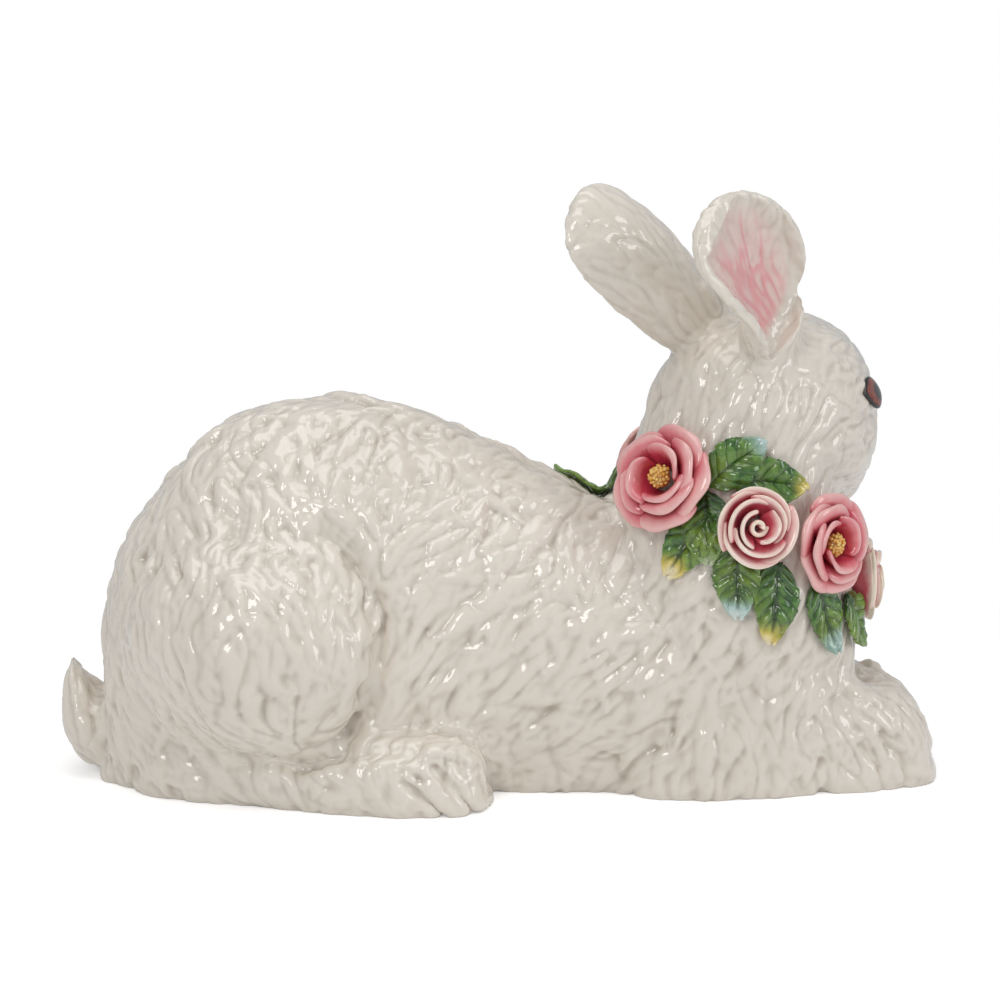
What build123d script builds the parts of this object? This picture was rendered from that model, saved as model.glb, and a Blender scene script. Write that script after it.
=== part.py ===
"""Glazed ceramic rabbit figurine, lying down with its head turned away, wearing a collar of roses and leaves.

The rabbit is slip-cast: a hollow body, a hollow head luted on along a slanting seam, and separately pressed ears,
legs, feet and tail that are stuck on with slip. The roses are built petal by petal and the leaves are pressed
onto the neck, over the seam. Lengths are in millimetres. The origin is the middle of the footprint, +X is the
way the body points, +Y is the rabbit's left and +Z is up.
"""

import os
from math import cos, pi, radians, sin

from build123d import *

# The whole figurine
overall_length = 362.0
back_height = 158.0
overall_width = 148.0
cast_wall = 5.0
floor_thickness = 5.0
slip_joint = 0.4
overrun = 20.0

# Torso: rows of shares along the length, up to the back and out to the side
torso_station_shares = [
    (-0.4430, 0.500, 0.070),
    (-0.4390, 0.540, 0.145),
    (-0.4150, 0.650, 0.235),
    (-0.3700, 0.806, 0.310),
    (-0.3000, 0.935, 0.360),
    (-0.2000, 0.998, 0.380),
    (-0.1000, 0.972, 0.348),
    (0.0200, 0.864, 0.305),
    (0.1200, 0.748, 0.314),
    (0.2200, 0.650, 0.326),
    (0.3100, 0.520, 0.290),
    (0.3600, 0.400, 0.205),
    (0.3850, 0.300, 0.110),
]
torso_middle_share = 0.37
torso_sink_share = 0.20
torso_shoulder_taper_share = 0.10
section_points = 8

# Haunch: an egg turned about an axis that leans down towards the knee
haunch_length = 116.0
haunch_radius = 50.0
haunch_along_share = -0.256
haunch_aside_share = 0.160
haunch_height_share = 0.385
haunch_lean = 14.0
haunch_points = 9
haunch_swell_share = 0.06

# Hind foot: rows of shares along the foot, out to its centre line, half width and height
hind_foot_length = 143.0
hind_foot_width = 40.0
hind_foot_height = 31.0
hind_foot_heel_share = -0.402
hind_foot_reach = 53.5
hind_foot_station_shares = [
    (0.000, 0.550, 0.10, 0.38),
    (0.025, 0.555, 0.25, 0.68),
    (0.110, 0.585, 0.40, 0.95),
    (0.280, 0.690, 0.45, 1.00),
    (0.490, 0.840, 0.475, 0.97),
    (0.700, 0.970, 0.50, 0.96),
    (0.860, 1.000, 0.50, 0.96),
    (0.945, 0.990, 0.42, 0.88),
    (0.985, 0.970, 0.27, 0.68),
    (1.000, 0.960, 0.10, 0.42),
]

# Foreleg: rows of the same four shares
foreleg_length = 122.0
foreleg_width = 36.0
foreleg_height = 43.0
foreleg_elbow_share = 0.163
foreleg_reach = 34.0
foreleg_station_shares = [
    (0.000, 1.000, 0.20, 0.55),
    (0.060, 0.990, 0.38, 0.80),
    (0.200, 0.960, 0.48, 0.98),
    (0.420, 0.830, 0.50, 1.02),
    (0.640, 0.680, 0.475, 0.99),
    (0.800, 0.560, 0.450, 0.96),
    (0.900, 0.480, 0.405, 0.86),
    (0.965, 0.430, 0.300, 0.68),
    (0.990, 0.410, 0.190, 0.52),
    (1.000, 0.400, 0.080, 0.36),
]
limb_middle_share = 0.45
limb_sink_share = 0.25

# Tail: rows of shares of its reach back from the rump, its height, its width and its thickness
tail_root_share = -0.388
tail_reach = 38.5
tail_height = 50.0
tail_width = 40.0
tail_thickness = 27.0
tail_lean = 33.0
tail_station_shares = [
    (0.10, 0.30, 0.42, 0.42),
    (0.52, 0.32, 0.50, 0.50),
    (0.80, 0.50, 0.47, 0.48),
    (0.92, 0.74, 0.36, 0.36),
    (0.97, 0.90, 0.22, 0.22),
    (1.00, 0.98, 0.09, 0.09),
]

# Neck: rows of shares of the neck's height, place along the body, half length and half width
neck_height = 176.0
neck_length = 108.0
neck_width = 98.0
neck_station_shares = [
    (0.000, 0.262, 0.475, 0.400),
    (0.100, 0.264, 0.490, 0.445),
    (0.210, 0.266, 0.500, 0.480),
    (0.390, 0.268, 0.490, 0.500),
    (0.535, 0.266, 0.465, 0.490),
    (0.660, 0.264, 0.420, 0.450),
    (0.790, 0.270, 0.375, 0.400),
    (0.910, 0.282, 0.310, 0.320),
    (1.000, 0.288, 0.210, 0.190),
]

# Head: rows of shares along the face, half width, rise above and drop below the head's middle
head_length = 118.0
head_width = 84.0
head_height = 84.0
head_along_share = 0.3135
head_aside = 15.0
head_middle_height = 149.0
head_turn = 50.0
head_station_shares = [
    (-0.440, 0.130, 0.130, 0.130),
    (-0.415, 0.260, 0.270, 0.240),
    (-0.350, 0.370, 0.380, 0.330),
    (-0.220, 0.450, 0.470, 0.430),
    (-0.050, 0.500, 0.500, 0.520),
    (0.120, 0.495, 0.500, 0.570),
    (0.260, 0.440, 0.465, 0.580),
    (0.370, 0.335, 0.400, 0.540),
    (0.450, 0.230, 0.230, 0.430),
    (0.490, 0.150, 0.070, 0.310),
    (0.505, 0.060, -0.060, 0.200),
]

# Eyes: almond plugs with a domed front, set into sockets in the head
eye_length = 16.0
eye_height = 12.0
eye_bulge = 2.4
eye_depth = 3.0
eye_rounding_share = 0.85
eye_along_share = 0.150
eye_rise_share = 0.110

# Ears: rows of shares along the ear, half chord, depth behind the rim, rise in front of it and cup depth
ear_right_length = 83.0
ear_right_chord = 50.0
ear_right_face_angle = 2.0
ear_left_length = 87.0
ear_left_chord = 46.0
ear_left_face_angle = -8.0
ear_depth = 17.0
ear_wall = 3.6
ear_back_share = -0.161
ear_aside = 18.0
ear_rise_share = 0.365
ear_sweep = 48.0
ear_splay = 9.0
ear_station_shares = [
    (-0.168, 0.260, 0.66, 0.66, 0.00),
    (0.000, 0.310, 0.80, 0.60, 0.00),
    (0.170, 0.390, 0.95, 0.45, 0.10),
    (0.340, 0.450, 1.02, 0.26, 0.65),
    (0.530, 0.490, 0.98, 0.16, 1.00),
    (0.710, 0.500, 0.84, 0.14, 1.00),
    (0.850, 0.455, 0.66, 0.14, 0.90),
    (0.930, 0.360, 0.50, 0.14, 0.40),
    (0.980, 0.220, 0.33, 0.12, 0.00),
    (1.000, 0.090, 0.20, 0.10, 0.00),
]

# Bow of each ear along the body, at each of its stations, in shares of the chord
ear_right_bow_shares = [0.00, 0.00, 0.10, 0.20, 0.24, 0.18, 0.06, -0.04, -0.08, -0.08]
ear_left_bow_shares = [0.00, 0.02, 0.00, -0.03, -0.04, -0.06, -0.10, -0.13, -0.13, -0.13]

# Seam between body and head: it slopes down from the nape to the chest, under the collar
seam_along_share = 0.2710
seam_height = 111.0
seam_slope = 31.0

# Drain hole that let the slip out of the mould
drain_radius = 9.0
drain_along_share = -0.050

# Roses: turn round the seam from the chest in degrees, and lift above the seam in shares of the radius
pink_rose_seat_shares = [(-135, 0.00), (-43, 0.50), (36, -0.48), (129, -0.20)]
cream_rose_seat_shares = [(-86, 0.15), (-3, 0.00), (82, -0.85)]
pink_rose_radius = 19.0
pink_rose_depth = 9.0
cream_rose_radius = 17.5
cream_rose_depth = 9.5
petal_thickness = 1.6
petal_lap = 1.6
petal_clearance = 0.6
receptacle_radius = 6.0
receptacle_rise = 9.0

# Petals: upper outline in shares of the rose's radius and depth, and count, arc and tilt in degrees
outer_petal_outline_shares = [(0.20, 0.00), (0.50, 0.10), (0.80, 0.42), (0.97, 0.85)]
outer_petal_count, outer_petal_arc, outer_petal_tilt = 5, 94, 14
inner_petal_outline_shares = [(0.18, 0.56), (0.35, 0.72), (0.49, 1.00), (0.52, 1.35)]
inner_petal_count, inner_petal_arc, inner_petal_tilt = 4, 108, 8

# Hearts: a ring of stamens round a middle one in the open roses, a furled bud in the rolled ones
stamen_radius = 1.1
stamen_rise = 4.0
stamen_ring_share = 0.58
stamen_count = 8
bud_radius = 5.6
bud_rise = 7.5
bud_taper = 14
bud_furl_count = 3
bud_furl_width = 1.2
bud_furl_depth = 3.0

# Leaves: turn round the seam in degrees, lift above it in leaf lengths, turn of the tip and length share
leaf_length = 30.0
leaf_width = 16.0
leaf_thickness = 1.8
leaf_clearance = 0.7
leaf_widest_share = 0.42
leaf_under_rose_share = 0.55
leaf_seat_shares = [
    (-110, 0.70, 71, 0.85),
    (-89, 0.70, 26, 0.95),
    (-104, -0.22, -51, 0.85),
    (-108, -0.55, -92, 0.90),
    (-80, -0.62, -62, 0.85),
    (-61, -0.62, -68, 0.95),
    (-37, -0.48, -48, 0.90),
    (-18, -0.40, -40, 0.80),
    (-20, 0.48, 50, 0.80),
    (169, -0.88, -90, 0.80),
    (20, -0.48, -125, 0.85),
    (50, -0.62, -105, 0.95),
    (78, -0.92, -90, 0.85),
    (104, -0.55, -95, 0.95),
    (108, 0.55, 80, 0.85),
    (150, -0.42, -80, 0.85),
]


def egg(half_width, top, middle, bottom, taper_share=0.0):
    """Points round an egg-shaped section that is widest at its middle and may narrow towards the top."""
    points = []
    for k in range(section_points):
        turn = 2 * pi * k / section_points
        lift = sin(turn)
        reach = top - middle if lift > 0 else middle - bottom
        narrowing = 1 - taper_share * max(lift, 0)
        points.append((half_width * cos(turn) * narrowing, middle + reach * lift))
    return points


def torso_form(inset):
    """The lofted trunk from rump to chest, drawn in on every side by inset."""
    shrink = 1 - 2 * inset / overall_length
    with BuildPart() as trunk:
        for along_share, top_share, width_share in torso_station_shares:
            top = top_share * back_height
            section = egg(
                width_share * (overall_width - 2 * inset),
                top - inset * min(1, 2 * top_share),
                torso_middle_share * top,
                -torso_sink_share * top,
                torso_shoulder_taper_share,
            )
            with BuildSketch(Plane.YZ.offset(along_share * overall_length * shrink)):
                with BuildLine():
                    Spline(*section, periodic=True)
                make_face()
        loft()
    return trunk.part


def haunch_form(inset):
    """The right thigh: an egg of revolution, drawn in by inset."""
    lean = radians(haunch_lean)
    thigh_plane = Plane(
        origin=(
            haunch_along_share * overall_length,
            -haunch_aside_share * overall_width,
            haunch_height_share * back_height,
        ),
        x_dir=(cos(lean), 0, -sin(lean)),
        z_dir=(0, -1, 0),
    )
    half_length = haunch_length / 2 - inset
    radius = haunch_radius - inset
    outline = []
    for k in range(haunch_points):
        turn = pi * k / (haunch_points - 1)
        swell = 1 + haunch_swell_share * cos(turn) * sin(turn)
        outline.append((-half_length * cos(turn), radius * sin(turn) * swell))
    with BuildPart() as thigh:
        with BuildSketch(thigh_plane):
            with BuildLine():
                profile = Spline(*outline, tangents=((0, 1), (0, -1)))
                Line(profile @ 1, profile @ 0)
            make_face()
        revolve(axis=Axis(thigh_plane.origin, thigh_plane.x_dir))
    return thigh.part


def neck_form(inset):
    """The neck and chest: a barrel of ovals that rises into the head."""
    with BuildPart() as neck:
        for height_share, along_share, length_share, width_share in neck_station_shares:
            half_width = width_share * neck_width - inset
            section = egg(length_share * neck_length - inset, half_width, 0, -half_width)
            level = Plane(
                origin=(along_share * overall_length, 0, height_share * neck_height)
            )
            with BuildSketch(level):
                with BuildLine():
                    Spline(*section, periodic=True)
                make_face()
        loft()
    return neck.part


def head_form(inset):
    """The head from the back of the skull to the nose, drawn in by inset."""
    shrink = 1 - 2 * inset / head_length
    height = head_height - 2 * inset
    with BuildPart() as skull:
        for along_share, width_share, rise_share, drop_share in head_station_shares:
            section = egg(
                width_share * (head_width - 2 * inset),
                rise_share * height,
                (rise_share - drop_share) * height / 2,
                -drop_share * height,
            )
            along = along_share * head_length * shrink
            station = Plane(
                origin=head_plane.from_local_coords((along, 0, 0)),
                x_dir=head_plane.y_dir,
                z_dir=head_plane.x_dir,
            )
            with BuildSketch(station):
                with BuildLine():
                    Spline(*section, periodic=True)
                make_face()
        loft()
    return skull.part


def figure_form(inset, base):
    """Body, haunches, neck and head as one solid, drawn in by inset and cut flat at the base."""
    with BuildPart() as figure:
        add(torso_form(inset))
        haunch = haunch_form(inset)
        add(haunch)
        mirror(haunch, about=Plane.XZ)
        add(neck_form(inset))
        add(head_form(inset))
        split(bisect_by=Plane.XY.offset(base), keep=Keep.TOP)
    return figure.part


def limb_form(station_shares, length, width, height, start, reach):
    """A leg or foot that lies along the floor on the rabbit's right, from start forwards."""
    with BuildPart() as limb:
        for along_share, aside_share, width_share, top_share in station_shares:
            top = top_share * height
            section = egg(
                width_share * width, top, limb_middle_share * top, -limb_sink_share * top
            )
            station = Plane(
                origin=(start + along_share * length, -aside_share * reach, 0),
                x_dir=(0, 1, 0),
                z_dir=(1, 0, 0),
            )
            with BuildSketch(station):
                with BuildLine():
                    Spline(*section, periodic=True)
                make_face()
        loft()
    return limb.part


def petal_form(outline_shares, radius, depth, arc):
    """One curved petal, swept about an axis set aside by the lap and trimmed to an arched rim."""
    shift = petal_thickness * cos(radians(45))
    base = leaf_clearance + leaf_thickness + petal_clearance + shift
    upper = [(r * radius, base + h * depth) for r, h in outline_shares]
    lower = [(r + shift, h - shift) for r, h in upper]
    start = radians(-arc / 2)
    station = Plane(
        origin=(0, petal_lap, 0),
        x_dir=(cos(start), sin(start), 0),
        z_dir=(sin(start), -cos(start), 0),
    )
    widest = max(r for r, h in upper)
    rim_height = upper[-1][1]
    with BuildPart() as petal:
        with BuildSketch(station):
            with BuildLine():
                inside = Spline(*upper)
                outside = Spline(*lower)
                Line(inside @ 0, outside @ 0)
                Line(inside @ 1, outside @ 1)
            make_face()
        revolve(axis=Axis(station.origin, (0, 0, 1)), revolution_arc=arc)
        with BuildSketch(Plane.YZ):
            with Locations((petal_lap, base)):
                Ellipse(
                    widest * sin(radians(arc / 2)) + petal_thickness,
                    rim_height - base + shift,
                )
        extrude(amount=radius + overrun, mode=Mode.INTERSECT)
    return petal.part


def petal_ring(outline_shares, radius, depth, arc, tilt, count):
    """A ring of separate petals that lap over each other, seated round the receptacle."""
    with BuildPart() as ring:
        with PolarLocations(0, count):
            add(petal_form(outline_shares, radius, depth, arc), rotation=(-tilt, 0, 0))
        Cylinder(receptacle_radius, 2 * (depth + overrun), mode=Mode.SUBTRACT)
    return ring.part


def open_heart():
    """The receptacle of an open rose, with its cluster of stamens."""
    with BuildPart() as heart:
        with BuildSketch(Plane.XY.offset(slip_joint)):
            Circle(receptacle_radius)
        extrude(amount=receptacle_rise - slip_joint)
        with BuildSketch(Plane.XY.offset(receptacle_rise)):
            Circle(stamen_radius)
            with PolarLocations(stamen_ring_share * receptacle_radius, stamen_count):
                Circle(stamen_radius)
        extrude(amount=stamen_rise)
    return heart.part


def furled_heart():
    """The receptacle of a rolled rose, with a bud that is grooved where its petals are furled."""
    with BuildPart() as heart:
        with BuildSketch(Plane.XY.offset(slip_joint)):
            Circle(receptacle_radius)
        extrude(amount=receptacle_rise - slip_joint)
        with BuildSketch(Plane.XY.offset(receptacle_rise)):
            Circle(bud_radius)
        extrude(amount=bud_rise, taper=bud_taper)
        with BuildSketch(Plane.XY.offset(receptacle_rise + bud_rise - bud_furl_depth)):
            with PolarLocations(bud_radius / 2, bud_furl_count):
                SlotOverall(bud_radius, bud_furl_width, rotation=90)
        extrude(amount=bud_furl_depth, mode=Mode.SUBTRACT)
    return heart.part


def collar_seat(turn, lift, tip_turn=0):
    """The plane that touches the neck at a turn round the seam and a lift above it.

    Its y points up the neck, until it is turned in itself by tip_turn.
    """
    outwards = seam_plane.x_dir.rotate(Axis((0, 0, 0), seam_plane.z_dir), turn)
    ray = Axis(seam_plane.origin + seam_plane.z_dir * lift, outwards)
    point, normal = figure_shell.find_intersection_points(ray)[-1]
    across = seam_plane.z_dir.cross(normal).rotate(Axis((0, 0, 0), normal), tip_turn)
    return Plane(origin=point, x_dir=across, z_dir=normal)


def ground_height(seat, place):
    """How far the figure lies above a seat plane, at a place along the plane's x."""
    foot = seat.from_local_coords((place, 0, 0))
    hits = figure_shell.find_intersection_points(Axis(foot, seat.z_dir))
    return min((seat.to_local_coords(point).Z for point, normal in hits), key=abs)


def keep_piece(piece, name):
    """Label a finished piece and write it under its own name."""
    piece.label = name
    export_step(piece, f"parts/{name}.step")


os.makedirs("parts", exist_ok=True)

# The head's own frame: x along the face, y to the rabbit's left, z up
head_plane = Plane(
    origin=(head_along_share * overall_length, head_aside, head_middle_height),
    x_dir=(cos(radians(head_turn)), sin(radians(head_turn)), 0),
    z_dir=(0, 0, 1),
)
face_mirror = Plane(
    origin=head_plane.origin, x_dir=head_plane.x_dir, z_dir=head_plane.y_dir
)
# The seam's own frame: x forwards and down to the chest, z up the neck
seam_plane = Plane(
    origin=(seam_along_share * overall_length, 0, seam_height),
    x_dir=(cos(radians(seam_slope)), 0, -sin(radians(seam_slope))),
    z_dir=(sin(radians(seam_slope)), 0, cos(radians(seam_slope))),
)

figure_outside = figure_form(0, 0)
figure_cavity = figure_form(cast_wall, floor_thickness)
figure_shell = figure_outside.shell()

# Eyes, seated in both sides of the face
eye_ray = Axis(
    head_plane.from_local_coords(
        (eye_along_share * head_length, 0, eye_rise_share * head_height)
    ),
    -head_plane.y_dir,
)
eye_point, eye_normal = figure_shell.find_intersection_points(eye_ray)[-1]
eye_plane = Plane(
    origin=eye_point,
    x_dir=head_plane.x_dir - eye_normal * head_plane.x_dir.dot(eye_normal),
    z_dir=eye_normal,
)
with BuildPart() as eye_right:
    with BuildSketch(eye_plane.offset(-eye_depth)):
        Ellipse(eye_length / 2, eye_height / 2)
    extrude(amount=eye_depth + eye_bulge)
    front_face = eye_right.faces().sort_by(Axis(eye_point, eye_normal))[-1]
    fillet(front_face.edges(), eye_bulge * eye_rounding_share)
with BuildPart() as eye_left:
    mirror(eye_right.part, about=face_mirror)
keep_piece(eye_right.part, "eye_right")
keep_piece(eye_left.part, "eye_left")

# Castings: the hollow body with its drain hole, and the hollow head with its eye sockets
with BuildPart() as body_shell:
    add(figure_outside)
    add(figure_cavity, mode=Mode.SUBTRACT)
    split(bisect_by=seam_plane, keep=Keep.BOTTOM)
    with BuildSketch(Plane.XY):
        with Locations((drain_along_share * overall_length, 0)):
            Circle(drain_radius)
    extrude(amount=floor_thickness + overrun, mode=Mode.SUBTRACT)
with BuildPart() as head_shell:
    add(figure_outside)
    add(figure_cavity, mode=Mode.SUBTRACT)
    split(bisect_by=seam_plane, keep=Keep.TOP)
    add(eye_right.part, mode=Mode.SUBTRACT)
    add(eye_left.part, mode=Mode.SUBTRACT)
keep_piece(body_shell.part, "body_shell")
keep_piece(head_shell.part, "head_shell")

# Hind feet, forelegs and tail, each cut to the part of the body that it is stuck to
torso_ground = torso_form(-slip_joint)
haunch_ground = haunch_form(-slip_joint)
neck_ground = neck_form(-slip_joint)
hind_foot_form = limb_form(
    hind_foot_station_shares,
    hind_foot_length,
    hind_foot_width,
    hind_foot_height,
    hind_foot_heel_share * overall_length,
    hind_foot_reach,
)
foreleg_form = limb_form(
    foreleg_station_shares,
    foreleg_length,
    foreleg_width,
    foreleg_height,
    foreleg_elbow_share * overall_length,
    foreleg_reach,
)
limb_kinds = (
    ("hind_foot", hind_foot_form, haunch_ground),
    ("foreleg", foreleg_form, neck_ground),
)
for name, form, ground in limb_kinds:
    with BuildPart() as limb_right:
        add(form)
        add(torso_ground, mode=Mode.SUBTRACT)
        add(ground, mode=Mode.SUBTRACT)
        split(bisect_by=Plane.XY, keep=Keep.TOP)
    with BuildPart() as limb_left:
        mirror(form, about=Plane.XZ)
        add(torso_ground, mode=Mode.SUBTRACT)
        mirror(ground, about=Plane.XZ, mode=Mode.SUBTRACT)
        split(bisect_by=Plane.XY, keep=Keep.TOP)
    keep_piece(limb_right.part, f"{name}_right")
    keep_piece(limb_left.part, f"{name}_left")
with BuildPart() as tail:
    for reach_share, height_share, width_share, thickness_share in tail_station_shares:
        station = Plane(
            origin=(
                tail_root_share * overall_length - reach_share * tail_reach,
                0,
                height_share * tail_height,
            ),
            x_dir=(0, 1, 0),
            z_dir=(-cos(radians(tail_lean)), 0, sin(radians(tail_lean))),
        )
        with BuildSketch(station):
            Ellipse(width_share * tail_width, thickness_share * tail_thickness)
    loft()
    add(torso_ground, mode=Mode.SUBTRACT)
    split(bisect_by=Plane.XY, keep=Keep.TOP)
keep_piece(tail.part, "tail")

# Ears: a tapered horn with the cup of the ear sunk into it, cut to the head
ear_axis = (
    head_plane.x_dir * (-sin(radians(ear_sweep)) * cos(radians(ear_splay)))
    - head_plane.y_dir * sin(radians(ear_splay))
    + head_plane.z_dir * (cos(radians(ear_sweep)) * cos(radians(ear_splay)))
)
ear_outwards = -head_plane.y_dir + ear_axis * head_plane.y_dir.dot(ear_axis)
ear_foot = head_plane.from_local_coords(
    (ear_back_share * head_length, -ear_aside, ear_rise_share * head_height)
)
ear_turned_forwards = Vector(1, 0, 0) - head_plane.y_dir * (2 * head_plane.y_dir.X)


def ear_loft(sections, opening):
    """A loft through ovals across the ear: middle, half chord, front and back."""
    with BuildPart() as horn:
        for middle, half_chord, front, back in sections:
            station = Plane(
                origin=middle, x_dir=opening.cross(ear_axis), z_dir=ear_axis
            )
            with BuildSketch(station):
                with BuildLine():
                    Spline(*egg(half_chord, front, 0, -back), periodic=True)
                make_face()
        loft()
    return horn.part


def ear_form(ear_length, ear_chord, face_angle, bow_shares, bow_direction):
    """A right ear with its cup, bowed to one side and cut to the head."""
    opening = ear_outwards.rotate(Axis((0, 0, 0), ear_axis), face_angle)
    horn_sections = []
    cup_sections = []
    for shares, bow_share in zip(ear_station_shares, bow_shares):
        along_share, chord_share, back_share, front_share, cup_share = shares
        middle = (
            ear_foot
            + ear_axis * (along_share * ear_length)
            + bow_direction * (bow_share * ear_chord)
        )
        half_chord = chord_share * ear_chord
        back = back_share * ear_depth
        horn_sections.append((middle, half_chord, front_share * ear_depth, back))
        if cup_share > 0:
            cup_depth = cup_share * (back - ear_wall)
            cup_sections.append(
                (middle, half_chord - ear_wall, ear_depth + overrun, cup_depth)
            )
    with BuildPart() as ear:
        add(ear_loft(horn_sections, opening))
        add(ear_loft(cup_sections, opening), mode=Mode.SUBTRACT)
        add(head_form(-slip_joint), mode=Mode.SUBTRACT)
    return ear.part


with BuildPart() as ear_right:
    add(
        ear_form(
            ear_right_length,
            ear_right_chord,
            ear_right_face_angle,
            ear_right_bow_shares,
            Vector(1, 0, 0),
        )
    )
with BuildPart() as ear_left:
    mirror(
        ear_form(
            ear_left_length,
            ear_left_chord,
            ear_left_face_angle,
            ear_left_bow_shares,
            ear_turned_forwards,
        ),
        about=face_mirror,
    )
keep_piece(ear_right.part, "ear_right")
keep_piece(ear_left.part, "ear_left")

# Collar of roses, each on its own plane against the neck
rose_kinds = (
    (pink_rose_seat_shares, pink_rose_radius, pink_rose_depth, open_heart()),
    (cream_rose_seat_shares, cream_rose_radius, cream_rose_depth, furled_heart()),
)
rose_middles = []
for seat_shares, radius, depth, heart_form in rose_kinds:
    outer_form = petal_ring(
        outer_petal_outline_shares,
        radius,
        depth,
        outer_petal_arc,
        outer_petal_tilt,
        outer_petal_count,
    )
    inner_form = petal_ring(
        inner_petal_outline_shares,
        radius,
        depth,
        inner_petal_arc,
        inner_petal_tilt,
        inner_petal_count,
    )
    for turn, lift_share in seat_shares:
        seat = collar_seat(turn, lift_share * radius)
        with BuildPart() as rose_middle:
            with Locations(seat):
                Cylinder(leaf_under_rose_share * radius, 2 * receptacle_rise)
        rose_middles.append(rose_middle.part)
        rose = f"rose_{len(rose_middles)}"
        for name, form in (
            ("outer_petals", outer_form),
            ("inner_petals", inner_form),
            ("heart", heart_form),
        ):
            with BuildPart() as rose_piece:
                with Locations(seat):
                    add(form)
            keep_piece(rose_piece.part, f"{rose}_{name}")

# Leaves: thin blades bent to the neck under stem, middle and tip, cut back under the roses
earlier_leaves = []
for leaf_number, (turn, lift_share, tip_turn, length_share) in enumerate(leaf_seat_shares, 1):
    seat = collar_seat(turn, lift_share * leaf_length, tip_turn)
    half_length = length_share * leaf_length / 2
    underside = [
        (place, ground_height(seat, place) + leaf_clearance)
        for place in (-half_length, 0, half_length)
    ]
    with BuildPart() as leaf_blank:
        with BuildSketch(seat.offset(-leaf_width)):
            with BuildLine():
                stem, tip = (-half_length, 0), (half_length, 0)
                widest = (2 * leaf_widest_share - 1) * half_length
                Spline(stem, (widest, leaf_width / 2), tip, tangents=((1, 2), (1, -1)))
                Spline(stem, (widest, -leaf_width / 2), tip, tangents=((1, -2), (1, 1)))
            make_face()
        extrude(amount=2 * leaf_width)
    with BuildPart() as leaf:
        with BuildSketch(Plane(origin=seat.origin, x_dir=seat.x_dir, z_dir=-seat.y_dir)):
            with BuildLine():
                lower = Spline(*underside)
                upper = Spline(*[(place, h + leaf_thickness) for place, h in underside])
                Line(lower @ 0, upper @ 0)
                Line(lower @ 1, upper @ 1)
            make_face()
        extrude(amount=leaf_width, both=True)
        add(leaf_blank.part, mode=Mode.INTERSECT)
        add(rose_middles, mode=Mode.SUBTRACT)
        add(earlier_leaves, mode=Mode.SUBTRACT)
    earlier_leaves.append(leaf_blank.part)
    keep_piece(leaf.part, f"leaf_{leaf_number:02d}")
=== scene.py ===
"""Looks of a glazed ceramic rabbit that lies with its head turned away, in carved fur and a collar of
roses and leaves. Lengths are in metres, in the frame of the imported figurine, or in mm where it says so."""

from math import cos, pi, radians, sin

import bmesh
import bpy
import numpy as np
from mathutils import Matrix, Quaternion, Vector
from mathutils.bvhtree import BVHTree


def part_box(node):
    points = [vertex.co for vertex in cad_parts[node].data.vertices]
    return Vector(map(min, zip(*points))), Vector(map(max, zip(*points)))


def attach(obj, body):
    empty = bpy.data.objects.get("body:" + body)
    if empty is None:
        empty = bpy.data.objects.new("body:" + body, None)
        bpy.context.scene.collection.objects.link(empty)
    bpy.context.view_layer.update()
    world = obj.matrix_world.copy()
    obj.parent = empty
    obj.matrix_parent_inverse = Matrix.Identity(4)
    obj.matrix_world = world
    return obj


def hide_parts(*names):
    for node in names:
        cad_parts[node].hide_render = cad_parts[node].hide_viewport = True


MM = 0.001

# The figurine's own directions: seam of the neck, head and ears
SEAM_ORIGIN = Vector((0.0981, 0, 0.111))
SEAM_FORWARD = Vector((0.857, 0, -0.515))
SEAM_UP = Vector((0.515, 0, 0.857))
HEAD_MIDDLE = Vector((0.1135, 0.015, 0.149))
FACE = Vector((0.643, 0.766, 0))
FACE_LEFT = Vector((-0.766, 0.643, 0))

# Ears: lean back and outwards in degrees, shares of the length at which the bow is given, and for each ear
# its side of the head, length and chord in mm, turn of the opening in degrees, foot, and bow in mm
EAR_SWEEP = 48
EAR_SPLAY = 9
EAR_ALONG = (0.0, 0.17, 0.34, 0.53, 0.71, 0.85, 0.93, 1.0)
EARS = {
    "right": {
        "side": -1, "length": 83, "chord": 50, "turn": 2, "foot": (0.115, -0.011, 0.180),
        "bow": (0, 5, 10, 12, 9, 3, -2, -4),
    },
    "left": {
        "side": 1, "length": 87, "chord": 46, "turn": -8, "foot": (0.0875, 0.012, 0.180),
        "bow": (0.9, 0, -1.4, -1.8, -2.8, -4.6, -6, -6),
    },
}

# Creases on a flank in mm: places along and up, depth and half width. They run round the thigh, over the
# hind foot, between chest and foreleg, and between the toes
SIDE_CREASES = (
    ([(-66, 108), (-58, 102), (-49, 90), (-44, 74), (-45, 57), (-51, 41), (-61, 28), (-79, 18)], 5.0, 5),
    ([(-100, 18), (-80, 21), (-55, 25), (-30, 26)], 2.6, 3.6),
    ([(62, 22), (90, 38), (118, 50), (140, 50)], 2.2, 6),
)
TOE_DEPTH, TOE_HALF_WIDTH = 2.2, 1.7
TOE_PATHS = (
    [(-24, 20), (-14, 10), (-9, 0)], [(-36, 14), (-24, 5), (-20, 0)],
    [(156, 24), (166, 14), (168, 0)], [(148, 20), (156, 10), (158, 0)],
)

# Thigh in mm: middle along and up, half its length and height, and its rise. Then in metres the front edge
# that stays unsmoothed, its width, and the heights between which that ends
THIGH_ALONG, THIGH_UP = -82, 60
THIGH_HALF_LENGTH, THIGH_HALF_HEIGHT = 40, 46
THIGH_RISE = 3.4
THIGH_FRONT, THIGH_FRONT_WIDTH = -0.044, 0.014
THIGH_FRONT_TOP = (0.085, 0.105)

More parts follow.
